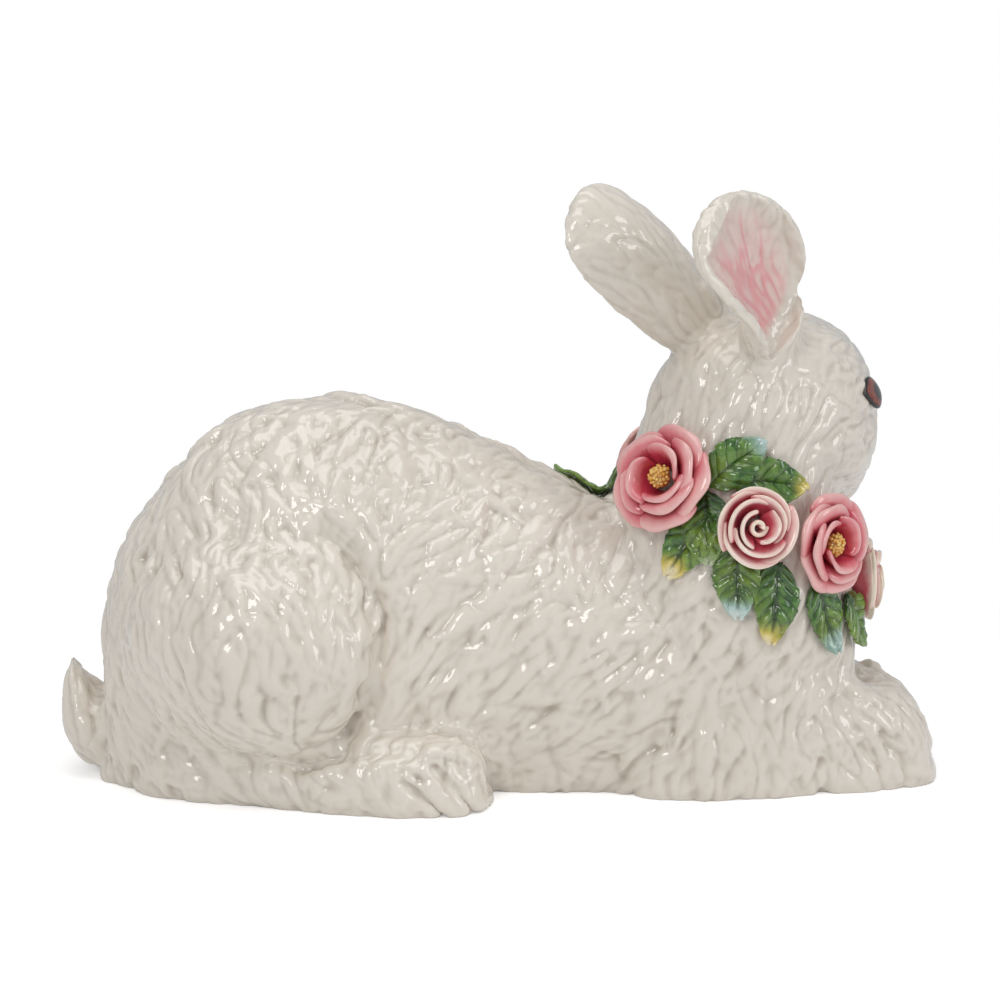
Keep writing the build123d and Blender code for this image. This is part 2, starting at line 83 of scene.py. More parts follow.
# Face in mm: half width, half height and drop of the nose, its rise, the cheeks' rise, the mouth's depth
NOSE_HALF_WIDTH, NOSE_HALF_HEIGHT, NOSE_DROP = 6.2, 4.2, 7.5
NOSE_RISE, CHEEK_RISE, MOUTH_DEPTH = 1.8, 2.2, 2.8

# Lie of the coat on a flank: place along and height in mm, and the way the hair points, in degrees
# from the paws' direction upwards
COAT_LIE = [
    (-98, 143, -88), (-147, 98, -100), (-155, 61, -92), (-103, 122, -68), (-65, 119, -62),
    (-50, 122, -112), (-78, 148, -80), (-30, 140, -80), (-6, 107, -168), (-22, 98, -160),
    (-29, 74, -128), (-38, 45, -120), (-18, 41, -125), (32, 110, -100), (19, 124, -112),
    (51, 98, -95), (67, 67, -148), (43, 82, -122), (5, 45, -141), (27, 41, -135),
    (111, 51, -98), (95, 20, -80), (63, 25, -150), (27, 16, -160), (110, 22, -63),
    (144, 29, -43), (166, 20, -50), (133, 57, -110), (116, 66, -105), (-119, 82, -88),
    (-111, 49, -90), (-139, 45, -85), (-78, 90, -72), (-66, 94, -58), (-50, 82, -70),
    (-47, 61, -96), (-54, 37, -112), (-82, 45, -90), (-99, 25, -80), (-119, 12, -35),
    (-78, 10, -30), (-30, 8, -45), (-13, 10, -55), (-170, 40, -75), (60, 125, -112),
]
# Reach in mm of each of them, their reach far away, and strength and lengths in mm of the swirls
LIE_REACH, LIE_FAR = 15, 20
SWIRL, SWIRL_LONG, SWIRL_HIGH = 0.42, 10, 8

# Layers of hair: spacing, length, half width and height of a lock in mm, how much less it rises on the ears
# and on the head, spread of its direction and bend, strength of its wave, seed and rounds of evening out
HAIR_KEYS = ("spacing", "length", "half_width", "height", "less_on_ear", "less_on_head", "unrest", "curl",
             "wave", "seed", "evening")
TUFTS = dict(zip(HAIR_KEYS, (12, 38, 8.5, 3.2, 0.8, 0.45, 0.10, 0.30, 0.35, 11, 9)))
LOCKS = dict(zip(HAIR_KEYS, (6.4, 23, 4.3, 1.35, 0.6, 0.3, 0.10, 0.35, 0.55, 23, 6)))

# Ranges of a lock's height, length and width, as shares
LOCK_HEIGHTS, LOCK_LENGTHS, LOCK_WIDTHS = (0.75, 1.2), (0.75, 1.3), (0.75, 1.25)

# Combed streaks: rounds of evening out, rounds of combing and height in mm
STROKES = (16, 130, 0.95)
STRANDS = (4, 70, 0.25)
STREAK_SEED = 31

# How deep in mm the carving goes below the casting: on the ears, and how much more elsewhere and on the body
EAR_SINK, COAT_SINK, BODY_SINK = 1.0, 1.1, 1.4

# Skin: solids in it, mm that they are grown while they are joined, cube of the remesh, and the plug
# that closes the drain hole
LIMB_NODES = ("tail", "foreleg_left", "foreleg_right", "hind_foot_left", "hind_foot_right")
SKIN_NODES = ("body_shell", "head_shell", "ear_left", "ear_right", *LIMB_NODES)
SKIN_GROWTH = 0.5
SKIN_CUBE = 1.2 * MM
DRAIN_PLUG = {"radius": 0.012, "depth": 0.006, "location": (-0.0181, 0, 0.0027)}

# Body pieces from tail to paws and where each ends along the body, where the head is cut along it, and the
# height of the cut under the ears
BODY_SLICES = (
    ("rump_glazed", -0.134), ("hips_glazed", -0.098), ("haunches_glazed", -0.065), ("loins_glazed", -0.035),
    ("flanks_glazed", 0.0), ("shoulders_glazed", 0.045), ("chest_glazed", 0.109), ("forelegs_glazed", None),
)
HEAD_CUT = 0.118
EAR_LEVEL = 0.1965

# Roses: kind, turn round the neck in degrees, lift in mm, radius in mm, spin and seed
ROSES = [
    ("open", -135, 0.0, 22.0, 20, 3),
    ("open", -43, 9.5, 20.5, 95, 7),
    ("open", 36, -9.1, 19.0, 200, 5),
    ("open", 129, -3.8, 19.0, 310, 9),
    ("rolled", -86, 2.6, 17.5, 0, 2),
    ("rolled", -3, 0.0, 17.5, 140, 4),
    ("rolled", 82, -14.9, 17.5, 260, 6),
]

# Radius that the petals of each kind are drawn at, and their rings: part, petals, turn and unrest in
# degrees, and the shape of a petal in the order of the keys
DRAWN_RADIUS = {"open": 19.0, "rolled": 17.5}
PETAL_KEYS = ("arc", "inner", "outer", "low", "high", "flare", "cup", "lap", "roll", "close", "droop", "deep",
              "thickness")
ROSE_RINGS = {
    "open": (
        ("outer_petals", 5, 0, 9, (116, 5.0, 19.0, 0.6, 7.4, 0.85, 1.0, 1.4, 1.6, 1.5, 2.4, 0.35, 2.2)),
        ("outer_petals", 4, 35, 12, (124, 4.6, 15.2, 1.8, 10.6, 0.8, 1.0, 1.6, 1.4, 1.2, 2.2, 0.35, 2.0)),
        ("inner_petals", 3, 70, 14, (140, 4.2, 10.4, 2.6, 12.2, 0.7, 1.0, 1.6, 1.0, 0.8, 2.2, 0.35, 1.8)),
    ),
    "rolled": (
        ("outer_petals", 4, 0, 8, (150, 6.0, 18.6, 0.2, 9.2, 0.62, 1.0, 1.6, 0.9, 3.6, 1.8, 0.25, 2.2)),
        ("outer_petals", 3, 50, 10, (158, 5.0, 14.0, 1.6, 12.0, 0.62, 0.95, 1.6, 0.7, 3.0, 2.0, 0.25, 2.0)),
        ("inner_petals", 2, 20, 10, (170, 3.6, 9.0, 3.0, 13.2, 0.6, 0.9, 1.6, 0.6, 1.8, 2.0, 0.25, 1.8)),
    ),
}

# Squares across and along each sheet
PETAL_GRID, FURL_GRID, LEAF_GRID = (12, 9), (44, 5), (44, 24)

# Stamens: grains, radius and height in mm of the dome, and the golden angle between
# grains in radians, their reach from the dome's foot and the range of their size in mm
GRAINS = 46
DOME_RADIUS, DOME_HEIGHT = 3.6, 6.6
GOLDEN_ANGLE = 2.39996
GRAIN_REACH, GRAIN_SIZES = 3.8, (0.5, 0.85)

# Leaves: turn in degrees, lift in mm, turn of the tip in degrees, length in mm and colour of the tip
LEAVES = [
    (-110, 21.0, 71, 25.5, "blue"),
    (-89, 21.0, 26, 28.5, "yellow"),
    (-104, -6.6, -51, 25.5, "green"),
    (-108, -16.5, -92, 27.0, "yellow"),
    (-80, -18.6, -62, 25.5, "blue"),
    (-61, -18.6, -68, 28.5, "yellow"),
    (-37, -14.4, -48, 27.0, "blue"),
    (-18, -12.0, -40, 24.0, "green"),
    (-20, 14.4, 50, 24.0, "yellow"),
    (169, -26.4, -90, 24.0, "green"),
    (20, -14.4, -125, 25.5, "green"),
    (50, -18.6, -105, 28.5, "blue"),
    (78, -27.6, -90, 25.5, "yellow"),
    (104, -16.5, -95, 28.5, "blue"),
    (108, 16.5, 80, 25.5, "green"),
    (150, -12.6, -80, 25.5, "yellow"),
]

# Leaf: half width and thickness in mm, stretch along, and teeth and ribs on each side
LEAF_HALF, LEAF_THICKNESS = 10.2, 1.5
LEAF_STRETCH = 1.12
LEAF_TEETH, LEAF_RIBS = 7.5, 6.0

# Seat of a leaf in metres: where the search for the skin starts and how far it goes, the level of a leaf
# where it finds none, and the lowest that a leaf may hang
LEAF_ABOVE, LEAF_SEARCH = 0.03, 0.055
LEAF_UNHELD, LEAF_LOWEST = -0.012, -0.014

# Painted eye in mm: half length behind and before its middle, half height, rise out of the head and depth
# in it, and the place and reach of the pupil
EYE_BACK, EYE_FRONT, EYE_HALF_HEIGHT = 9.2, 7.2, 7.0
EYE_PROUD, EYE_SUNK = 1.7, 2.6
PUPIL_PLACE, PUPIL_REACH = 2.4, 8.0

# Lamps: name, place, where it looks, size, power and colour. Then the world, and the floor's size and glow
LAMPS = (
    ("top_box", (-0.1, -0.2, 1.3), (0, 0, 0.08), (1.0, 0.8), 4.7, (1, 0.99, 0.97)),
    ("front_box", (-0.45, -1.25, 0.95), (0, 0, 0.1), (0.45, 0.45), 4.1, (1, 0.98, 0.96)),
    ("side_box", (1.2, -0.6, 0.6), (0.05, 0, 0.1), (0.4, 0.8), 3.4, (0.98, 0.98, 1)),
)
WORLD_COLOUR, WORLD_STRENGTH = (0.95, 0.97, 1.0, 1), 0.48
FLOOR_SIZE, FLOOR_GLOW = 8, 0.36
# The floor turns plain white for the camera between these distances from the middle
FLOOR_FADE = (0.2, 0.42)

# Camera: ten degrees above level, a metre away
CAMERA_PLACE = (0.0025, -1.01829, 0.29395)
CAMERA_TILT = 80
CAMERA_LENS, CAMERA_SENSOR = 90, 36


def linear(red, green, blue):
    """A painter's colour, given in 0 to 255, as the shader wants it."""
    values = []
    for level in (red, green, blue):
        share = level / 255
        values.append(share / 12.92 if share <= 0.04045 else ((share + 0.055) / 1.055) ** 2.4)
    return (*values, 1.0)


def fade(value, low, high):
    """0 below low, 1 above high and a soft S between."""
    share = np.clip((value - low) / (high - low), 0, 1)
    return share * share * (3 - 2 * share)


# Meshes


def pick(piece):
    """Make one piece the only selected and active one."""
    bpy.ops.object.select_all(action="DESELECT")
    piece.select_set(True)
    bpy.context.view_layer.objects.active = piece


def rename(piece, name):
    """Name a piece and its mesh."""
    piece.name = name
    piece.data.name = name


def add_mesh(operator, **settings):
    """A new primitive with its place in its mesh."""
    bpy.ops.object.select_all(action="DESELECT")
    operator(**settings)
    bpy.ops.object.transform_apply(location=True, rotation=False, scale=False)
    return bpy.context.active_object


def add_grid(columns, rows):
    """A flat grid, and the places of its points across and along it, from -1 to 1."""
    grid = add_mesh(bpy.ops.mesh.primitive_grid_add, x_subdivisions=columns, y_subdivisions=rows, size=2)
    flat = points_of(grid)
    return grid, flat[:, 0], flat[:, 1]


def finish_modifier(piece, kind, **settings):
    """Add one modifier with its settings and apply it."""
    pick(piece)
    modifier = piece.modifiers.new(kind.title(), kind)
    for name, value in settings.items():
        setattr(modifier, name, value)
    bpy.ops.object.modifier_apply(modifier=modifier.name)


def subdivide_surface(piece):
    """Round a piece with one level of subdivision surface."""
    finish_modifier(piece, "SUBSURF", levels=1, render_levels=1)


def thicken(piece, thickness, offset=0):
    """Give a sheet its thickness in mm and round its edges."""
    finish_modifier(piece, "SOLIDIFY", thickness=thickness * MM, offset=offset)
    subdivide_surface(piece)


def join(pieces, name):
    """Join pieces into the first one."""
    pick(pieces[0])
    for piece in pieces:
        piece.select_set(True)
    if len(pieces) > 1:
        bpy.ops.object.join()
    rename(pieces[0], name)
    return pieces[0]


def in_edit_mode(piece, operator, **settings):
    """Run an edit-mode operator on the whole of a piece."""
    pick(piece)
    bpy.ops.object.mode_set(mode="EDIT")
    bpy.ops.mesh.select_all(action="SELECT")
    operator(**settings)
    bpy.ops.object.mode_set(mode="OBJECT")


def read_rows(source, name, width, kind=np.float32):
    """Values kept in a mesh, one row of a width for each of its items."""
    flat = np.empty(len(source) * width, dtype=kind)
    source.foreach_get(name, flat)
    return flat.reshape(-1, width)


def points_of(piece):
    """A piece's points, one row each."""
    return read_rows(piece.data.vertices, "co", 3).astype(np.float64)


def set_points(piece, points):
    """Move a piece's points."""
    piece.data.vertices.foreach_set("co", points.astype(np.float32).ravel())
    piece.data.update()


def normals_of(piece):
    """A piece's point normals, one row each."""
    return read_rows(piece.data.vertex_normals, "vector", 3).astype(np.float64)


def edges_of(piece):
    """A piece's edges, one row of two point numbers each."""
    return read_rows(piece.data.edges, "vertices", 2, np.int32)


def keep_values(piece, name, values):
    """Store one value at each point, for the glaze to read."""
    layer = piece.data.attributes.get(name) or piece.data.attributes.new(name, "FLOAT", "POINT")
    layer.data.foreach_set("value", values.astype(np.float32))


def relax(values, edges, weight, rounds):
    """Even out values or points over the surface."""
    ends, others = np.concatenate([edges, edges[:, ::-1]]).T
    count = len(values)
    degree = np.maximum(np.bincount(ends, minlength=count), 1)
    columns = np.atleast_2d(values.T)
    for _ in range(rounds):
        means = np.stack([np.bincount(ends, column[others], count) / degree for column in columns])
        columns = columns + weight * (means - columns)
    return columns[0] if values.ndim == 1 else np.ascontiguousarray(columns.T)


def dress(piece, material):
    """Shade a whole piece smooth and give it its one material."""
    piece.data.shade_smooth()
    piece.data.materials.clear()
    piece.data.materials.append(material)


# Fur


def cube_numbers(points, size):
    """The number of the cube that each point is in, the lowest cube, and how many there are each way."""
    keys = np.floor(points / size).astype(int)
    low = keys.min(axis=0)
    keys -= low
    span = keys.max(axis=0) + 1
    return (keys[:, 0] * span[1] + keys[:, 1]) * span[2] + keys[:, 2], low, span


class PlaceTable:
    """Points sorted into cubes, so that those near a place are found at once."""

    def __init__(self, points, size):
        self.size = size
        flat, self.low, self.span = cube_numbers(points, size)
        self.order = np.argsort(flat, kind="stable")
        self.starts = np.searchsorted(flat[self.order], np.arange(self.span.prod() + 1))

    def near(self, place, reach):
        """Numbers of the points in the cubes that a ball touches."""
        low = np.maximum(np.floor((place - reach) / self.size).astype(int) - self.low, 0)
        high = np.minimum(np.floor((place + reach) / self.size).astype(int) - self.low, self.span - 1)
        if np.any(low > high):
            return self.order[:0]
        found = []
        for i in range(low[0], high[0] + 1):
            for j in range(low[1], high[1] + 1):
                row = (i * self.span[1] + j) * self.span[2]
                found.append(self.order[self.starts[row + low[2]]:self.starts[row + high[2] + 1]])
        return np.concatenate(found)


def spaced_roots(points, spacing, chance):
    """Point numbers about one spacing apart."""
    mixed = chance.permutation(len(points))
    return mixed[np.unique(cube_numbers(points[mixed], spacing)[0], return_index=True)[1]]


def carve_locks(points, normals, lie, table, look, scale, heights):
    """Height of overlapping locks of hair over the skin.

    look is a layer of hair, scale the size of its locks at each point, and heights how far they may rise.
    """
    chance = np.random.default_rng(look["seed"])
    height = np.zeros(len(points))
    roots = spaced_roots(points, look["spacing"] * MM, chance)
    chance.shuffle(roots)
    for root in roots:
        size = scale[root]
        relief = heights[root] * chance.uniform(*LOCK_HEIGHTS)
        if relief < 0.02 * MM:
            continue
        length = look["length"] * MM * size * chance.uniform(*LOCK_LENGTHS)
        half = look["half_width"] * MM * size * chance.uniform(*LOCK_WIDTHS)
        normal = normals[root]
        turn = chance.normal(0, look["unrest"])
        side = np.cross(normal, lie[root])
        forward = lie[root] * cos(turn) + side * sin(turn)
        side = np.cross(normal, forward)
        bend = chance.normal(0, look["curl"]) / length
        wave = chance.uniform(0, 2 * pi)
        middle = points[root] + forward * length * 0.5
        around = table.near(middle, length * 0.62)
        reach = points[around] - points[root]
        u = reach @ forward / length
        v = reach @ side
        away = np.abs(reach @ normal)
        v = v - bend * (u * length) ** 2 - half * look["wave"] * np.sin(5 * u + wave) * u
        width = half * np.sqrt(np.clip(u / 0.22, 0, 1)) * np.clip(1 - np.clip(u, 0, 1) ** 2.6, 0, 1) ** 0.8
        inside = (u > 0) & (u < 1) & (np.abs(v) < width) & (away < 0.45 * length)
        inside &= (normals[around] @ normal) > 0.25
        chosen = around[inside]
        if not len(chosen):
            continue
        t = v[inside] / width[inside]
        s = u[inside]
        crown = np.sqrt(np.clip(1 - t * t, 0, 1))
        rise = relief * (0.35 + 0.65 * fade(s, 0, 0.75)) * (0.25 + 0.75 * crown)
        rise *= fade(s, 0, 0.12)
        higher = rise > height[chosen]
        chosen = chosen[higher]
        height[chosen] = rise[higher]
    return height


def coat_lie(points, normals):
    """The way the hair points at each place of the skin."""
    sides = np.where(points[:, 1] < 0, -1.0, 1.0)
    weight_sum = np.zeros(len(points))
    lie = np.zeros_like(points)
    for along, up, angle in COAT_LIE:
        apart = (points[:, 0] - along * MM) ** 2 + (points[:, 2] - up * MM) ** 2
        weight = np.exp(-apart / (2 * (LIE_REACH * MM) ** 2)) + 1e-6 / (1 + apart / (LIE_FAR * MM) ** 2)
        lie[:, 0] += weight * cos(radians(angle))
        lie[:, 2] += weight * sin(radians(angle))
        weight_sum += weight
    lie /= weight_sum[:, None]
    swirl = SWIRL * np.sin(points[:, 0] / (SWIRL_LONG * MM) + 1.3)
    swirl *= np.sin(points[:, 2] / (SWIRL_HIGH * MM) + 0.4)
    turned = np.stack(
        [
            lie[:, 0] * np.cos(swirl) - lie[:, 2] * np.sin(swirl),
            0.55 * sides,
            lie[:, 0] * np.sin(swirl) + lie[:, 2] * np.cos(swirl),
        ],
        axis=1,
    )
    top = fade(normals[:, 2], 0.72, 0.95)[:, None]
    back = np.stack([-np.ones(len(points)), 0.35 * sides, np.zeros(len(points))], axis=1)
    lie = turned * (1 - top) + back * top

    on_head = head_share(points)[:, None]
    from_middle = points - np.array(HEAD_MIDDLE)
    forwards = from_middle @ np.array(FACE)
    drop = 0.22 + 1.5 * fade(-forwards, 4 * MM, 30 * MM)
    head_lie = -np.array(FACE) + drop[:, None] * np.array([0, 0, -1.0])
    lie = lie * (1 - on_head) + head_lie * on_head

    for ear in EARS.values():
        share, along, across = ear_place(points, ear)[:3]
        axis, opening = ear_directions(ear)
        spread = np.tanh(2.5 * across) * (0.22 + 0.45 * fade(along, 0.3, 0.9))
        ear_lie = axis + spread[:, None] * np.cross(axis, opening)
        lie = lie * (1 - share[:, None]) + ear_lie * share[:, None]
    lie -= normals * np.sum(lie * normals, axis=1)[:, None]
    return lie / np.maximum(np.linalg.norm(lie, axis=1), 1e-6)[:, None]


def head_share(points):
    """1 on the head, 0 on the body, with a soft change just above the seam."""
    above = (points - np.array(SEAM_ORIGIN)) @ np.array(SEAM_UP)
    return fade(above, 4 * MM, 18 * MM) * fade(points[:, 0], 0.045, 0.06)


def ear_directions(ear):
    """The way an ear points and the way its cup opens."""
    outwards = FACE_LEFT * ear["side"]
    sweep = radians(EAR_SWEEP)
    splay = radians(EAR_SPLAY)
    upwards = Vector((0, 0, cos(sweep) * cos(splay)))
    axis = FACE * (-sin(sweep) * cos(splay)) + outwards * sin(splay) + upwards
    axis.normalize()
    opening = (outwards - axis * outwards.dot(axis)).normalized()
    opening = Quaternion(axis, radians(-ear["side"] * ear["turn"])) @ opening
    return np.array(axis), np.array(opening)


def ear_place(points, ear):
    """How much a point belongs to an ear, how far along and across it lies, and how far out of the cup."""
    axis, opening = ear_directions(ear)
    reach = points - np.array(ear["foot"])
    along = reach @ axis / (ear["length"] * MM)
    reach[:, 0] -= np.interp(along, EAR_ALONG, ear["bow"]) * MM
    aside = reach - (reach @ axis)[:, None] * axis
    near = 1 - fade(np.linalg.norm(aside, axis=1), 28 * MM, 34 * MM)
    share = fade(along, 0.06, 0.24) * near
    across = reach @ np.cross(axis, opening) / (0.5 * ear["chord"] * MM)
    return share, along, across, reach @ opening


def skin_masks(points, normals):
    """Shares of the skin that the carver treats alike."""
    ear = np.zeros(len(points))
    blush = np.zeros(len(points))
    for one in EARS.values():
        share, along, across, before = ear_place(points, one)
        ear = np.maximum(ear, share)
        facing = fade(normals @ ear_directions(one)[1], 0.1, 0.5)
        rim = 1 - fade(np.abs(across), 0.35, 0.8)
        low = 1 - fade(along, 0.62, 1.0)
        deep = fade(before, -21 * MM, -16 * MM) * (1 - fade(before, -5 * MM, 0))
        blush = np.maximum(blush, fade(share, 0.5, 0.9) * facing * rim * low * deep)
    under = fade(-normals[:, 2], 0.8, 0.95) * (1 - fade(points[:, 2], 2 * MM, 5 * MM))
    foot = 1 - fade(points[:, 2], 3 * MM, 12 * MM)
    return {"ear": ear, "blush": blush, "under": under, "foot": foot, "head": head_share(points)}


def merged_copy(nodes, name):
    """One mesh of several CAD solids, with their loose triangles joined at their corners."""
    copies = []
    for node in nodes:
        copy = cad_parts[node].copy()
        copy.data = copy.data.copy()
        copy.data.materials.clear()
        bpy.context.scene.collection.objects.link(copy)
        copies.append(copy)
    piece = join(copies, name)
    in_edit_mode(piece, bpy.ops.mesh.remove_doubles, threshold=1e-6)
    return piece


def largest_island(piece, name):
    """Keep only the outer skin of a remeshed piece."""
    in_edit_mode(piece, bpy.ops.mesh.separate, type="LOOSE")
    islands = list(bpy.context.selected_objects)
    islands.sort(key=lambda part: max(part.dimensions), reverse=True)
    for part in islands[1:]:
        bpy.data.objects.remove(part)
    islands[0].name = name
    return islands[0]


def cast_skin():
    """The luted castings as one smooth skin, with the joints rubbed over."""
    skin = merged_copy(SKIN_NODES + ("eye_left", "eye_right"), "skin")
    set_points(skin, points_of(skin) + normals_of(skin) * SKIN_GROWTH * MM)
    plug = add_mesh(bpy.ops.mesh.primitive_cylinder_add, vertices=32, **DRAIN_PLUG)
    skin = join([skin, plug], "skin")
    finish_modifier(skin, "REMESH", mode="VOXEL", voxel_size=SKIN_CUBE, adaptivity=0)
    skin = largest_island(skin, "skin")
    edges = edges_of(skin)
    points = points_of(skin) - normals_of(skin) * SKIN_GROWTH * MM
    masks = skin_masks(points, normals_of(skin))
    points = relax(points, edges, 0.5, 4)
    before_thigh = np.exp(-((points[:, 0] - THIGH_FRONT) ** 2) / (THIGH_FRONT_WIDTH**2))
    crease = before_thigh * (1 - fade(points[:, 2], *THIGH_FRONT_TOP))
    off_ears = 1 - masks["ear"]
    weight = 0.5 * off_ears * (1 - 0.85 * crease) * (1 - masks["foot"]) * (1 - 0.5 * masks["head"])
    points = relax(points, edges, weight, 30)
    points = relax(points, edges, 0.5 * (1 - masks["foot"]) * off_ears, 6)
    points += normals_of(skin) * (flank_forms(points) + face_forms(points))[:, None]
    points[:, 2] = np.maximum(points[:, 2], 0)
    set_points(skin, points)
    subdivide_surface(skin)
    return skin


def path_distance(points, path):
    """Distance on the flank from a path given as places along and up in mm."""
    flat = points[:, [0, 2]]
    apart = np.full(len(points), 1.0)
    for start, end in zip(path[:-1], path[1:]):
        start = np.array(start) * MM
        run = np.array(end) * MM - start
        share = np.clip((flat - start) @ run / (run @ run), 0, 1)
        apart = np.minimum(apart, np.linalg.norm(flat - start - share[:, None] * run, axis=1))
    return apart


def groove(points, path, depth, half_width):
    """Depth in mm of a rounded groove along a path on the flank."""
    return depth * np.exp(-((path_distance(points, path) / (half_width * MM)) ** 2))


def flank_forms(points):
    """Rise of the thigh and depth of the creases on both flanks."""
    along = (points[:, 0] - THIGH_ALONG * MM) / (THIGH_HALF_LENGTH * MM)
    up = (points[:, 2] - THIGH_UP * MM) / (THIGH_HALF_HEIGHT * MM)
    rise = THIGH_RISE * (1 - fade(along**2 + up**2, 0.35, 1.05))
    for crease in SIDE_CREASES:
        rise -= groove(points, *crease)
    rise *= fade(np.abs(points[:, 1]), 16 * MM, 32 * MM)
    for path in TOE_PATHS:
        rise -= groove(points, path, TOE_DEPTH, TOE_HALF_WIDTH)
    return rise * MM


def face_place(points):
    """Places on the face in mm: to its left, upwards and forwards from the middle of the head."""
    reach = (points - np.array(HEAD_MIDDLE)) / MM
    return reach @ np.array(FACE_LEFT), reach[:, 2], reach @ np.array(FACE)


def nose_share(points):
    """1 on the painted nose, 0 off it."""
    aside, up, before = face_place(points)
    half_height = NOSE_HALF_HEIGHT - 0.3 * np.abs(aside)
    oval = (aside / NOSE_HALF_WIDTH) ** 2 + ((up + NOSE_DROP) / half_height) ** 2
    return (1 - fade(oval, 0.7, 1.15)) * (before > 25)


def face_forms(points):
    """Rise of the nose and depth of the carved mouth."""
    aside, up, before = face_place(points)
    aside = np.abs(aside)
    philtrum = np.exp(-((aside / 1.4) ** 2)) * fade(-up, 10, 12) * (1 - fade(-up, 16, 18))
    smile = np.exp(-(((up + 17 + 2.2 * np.sin(aside / 3.4)) / 1.5) ** 2)) * (1 - fade(aside, 9, 13))
    cheeks = np.exp(-(((aside - 7.5) / 5) ** 2) - ((up + 12) / 6) ** 2)
    mouth = np.maximum(philtrum, smile)
    rise = NOSE_RISE * nose_share(points) + CHEEK_RISE * cheeks - MOUTH_DEPTH * mouth
    return rise * (before > 20) * MM


def neighbour_pairs(piece):
    """Pairs of points that share a square, along its sides and from corner to corner."""
    squares = read_rows(piece.data.loops, "vertex_index", 1, np.int32).reshape(-1, 4)
    return np.concatenate([edges_of(piece), squares[:, [0, 2]], squares[:, [1, 3]]])


def comb(values, pairs, pull, rounds):
    """Draw values out along the hair; pull says how well each pair lies with it."""
    first, second = pairs[:, 0], pairs[:, 1]
    count = len(values)
    total = np.bincount(first, pull, count) + np.bincount(second, pull, count)
    for _ in range(rounds):
        drawn = np.bincount(first, pull * values[second], count)
        drawn += np.bincount(second, pull * values[first], count)
        values = 0.15 * values + 0.85 * drawn / total
    return values


def combed_streaks(chance, edges, pairs, pull, evening, combing):
    """Ridges that follow the hair, with narrow grooves between them: 0 in a groove, about 1 on top."""
    streaks = relax(chance.normal(size=pairs.max() + 1), edges, 0.5, evening)
    streaks = comb(streaks, pairs, pull, combing)
    streaks /= streaks.std()
    return np.clip(np.abs(streaks) / 1.3, 0, 1) ** 0.8


def carve_fur(skin):
    """Carve the coat: big tufts, locks over them and combed streaks in the locks."""
    points = points_of(skin)
    normals = normals_of(skin)
    edges = edges_of(skin)
    masks = skin_masks(points, normals)
    ear, head = masks["ear"], masks["head"]
    lie = coat_lie(points, normals)
    table = PlaceTable(points, 6 * MM)
    bare = (1 - masks["under"]) * (1 - 0.7 * masks["foot"])
    size = 1 - (ear * 0.45 + head * 0.25 * (1 - ear))
    at_root = np.zeros(len(points))
    for one in EARS.values():
        apart = np.linalg.norm(points - np.array(one["foot"]), axis=1)
        at_root = np.maximum(at_root, 1 - fade(apart, 12 * MM, 24 * MM))
    muzzle = fade(face_place(points)[2], 26, 42) * head
    calm = (1 - 0.6 * at_root) * (1 - 0.7 * muzzle)
    hair = []
    for look in (TUFTS, LOCKS):
        height = look["height"] * MM * bare
        height = height * (1 - look["less_on_ear"] * ear) * (1 - look["less_on_head"] * head) * calm
        rise = carve_locks(points, normals, lie, table, look, size, height)
        hair.append(relax(rise, edges, 0.5, look["evening"]))
    pairs = neighbour_pairs(skin)
    apart = points[pairs[:, 1]] - points[pairs[:, 0]]
    apart /= np.maximum(np.linalg.norm(apart, axis=1), 1e-9)[:, None]
    pull = np.abs(np.sum(apart * (lie[pairs[:, 0]] + lie[pairs[:, 1]]) / 2, axis=1)) ** 8 + 0.004
    chance = np.random.default_rng(STREAK_SEED)
    strokes = combed_streaks(chance, edges, pairs, pull, *STROKES[:2])
    strands = combed_streaks(chance, edges, pairs, pull, *STRANDS[:2])
    nose = nose_share(points)
    depth = bare * calm * (1 - 0.35 * ear) * (1 - nose) * MM
    relief = hair[0] + hair[1] + (STROKES[2] * strokes + STRANDS[2] * strands) * depth
    relief = relax(relief, edges, 0.5, 1)
    wide = relax(relief, edges, 0.5, 26)
    # How far a point lies below its neighbours: the grooves, which the glaze darkens, partly as pooled glaze
    # and partly as painted shade
    hollow = np.clip((wide - relief) / (0.75 * MM) + 0.08, 0, 1)
    sunk = EAR_SINK + (1 - ear) * (COAT_SINK + BODY_SINK * (1 - 0.6 * head))
    relief = relief - sunk * MM * bare
    moved = points + normals * relief[:, None]
    moved[:, 2] = np.where(masks["under"] > 0.5, points[:, 2], np.maximum(moved[:, 2], 0))
    set_points(skin, moved)
    kept = {"hollow": hollow, "strand": strands, "blush": masks["blush"], "nose": nose, "raw": masks["under"]}
    for name, values in kept.items():
        keep_values(skin, name, values)
    return skin


def cut_piece(skin, name, cuts):
    """A closed piece of the skin, cut off at flat planes, that keeps the skin's shading."""
    piece = skin.copy()
    piece.data = skin.data.copy()
    rename(piece, name)
    bpy.context.scene.collection.objects.link(piece)
    mesh = bmesh.new()
    mesh.from_mesh(piece.data)
    for place, outwards in cuts:
        whole = mesh.verts[:] + mesh.edges[:] + mesh.faces[:]
        bmesh.ops.bisect_plane(mesh, geom=whole, plane_co=place, plane_no=outwards, clear_outer=True)
        rim = [edge for edge in mesh.edges if edge.is_boundary]
        for lid in bmesh.ops.holes_fill(mesh, edges=rim, sides=0)["faces"]:
            lid.smooth = False
            for edge in lid.edges:
                edge.smooth = False
    mesh.to_mesh(piece.data)
    mesh.free()
    return piece


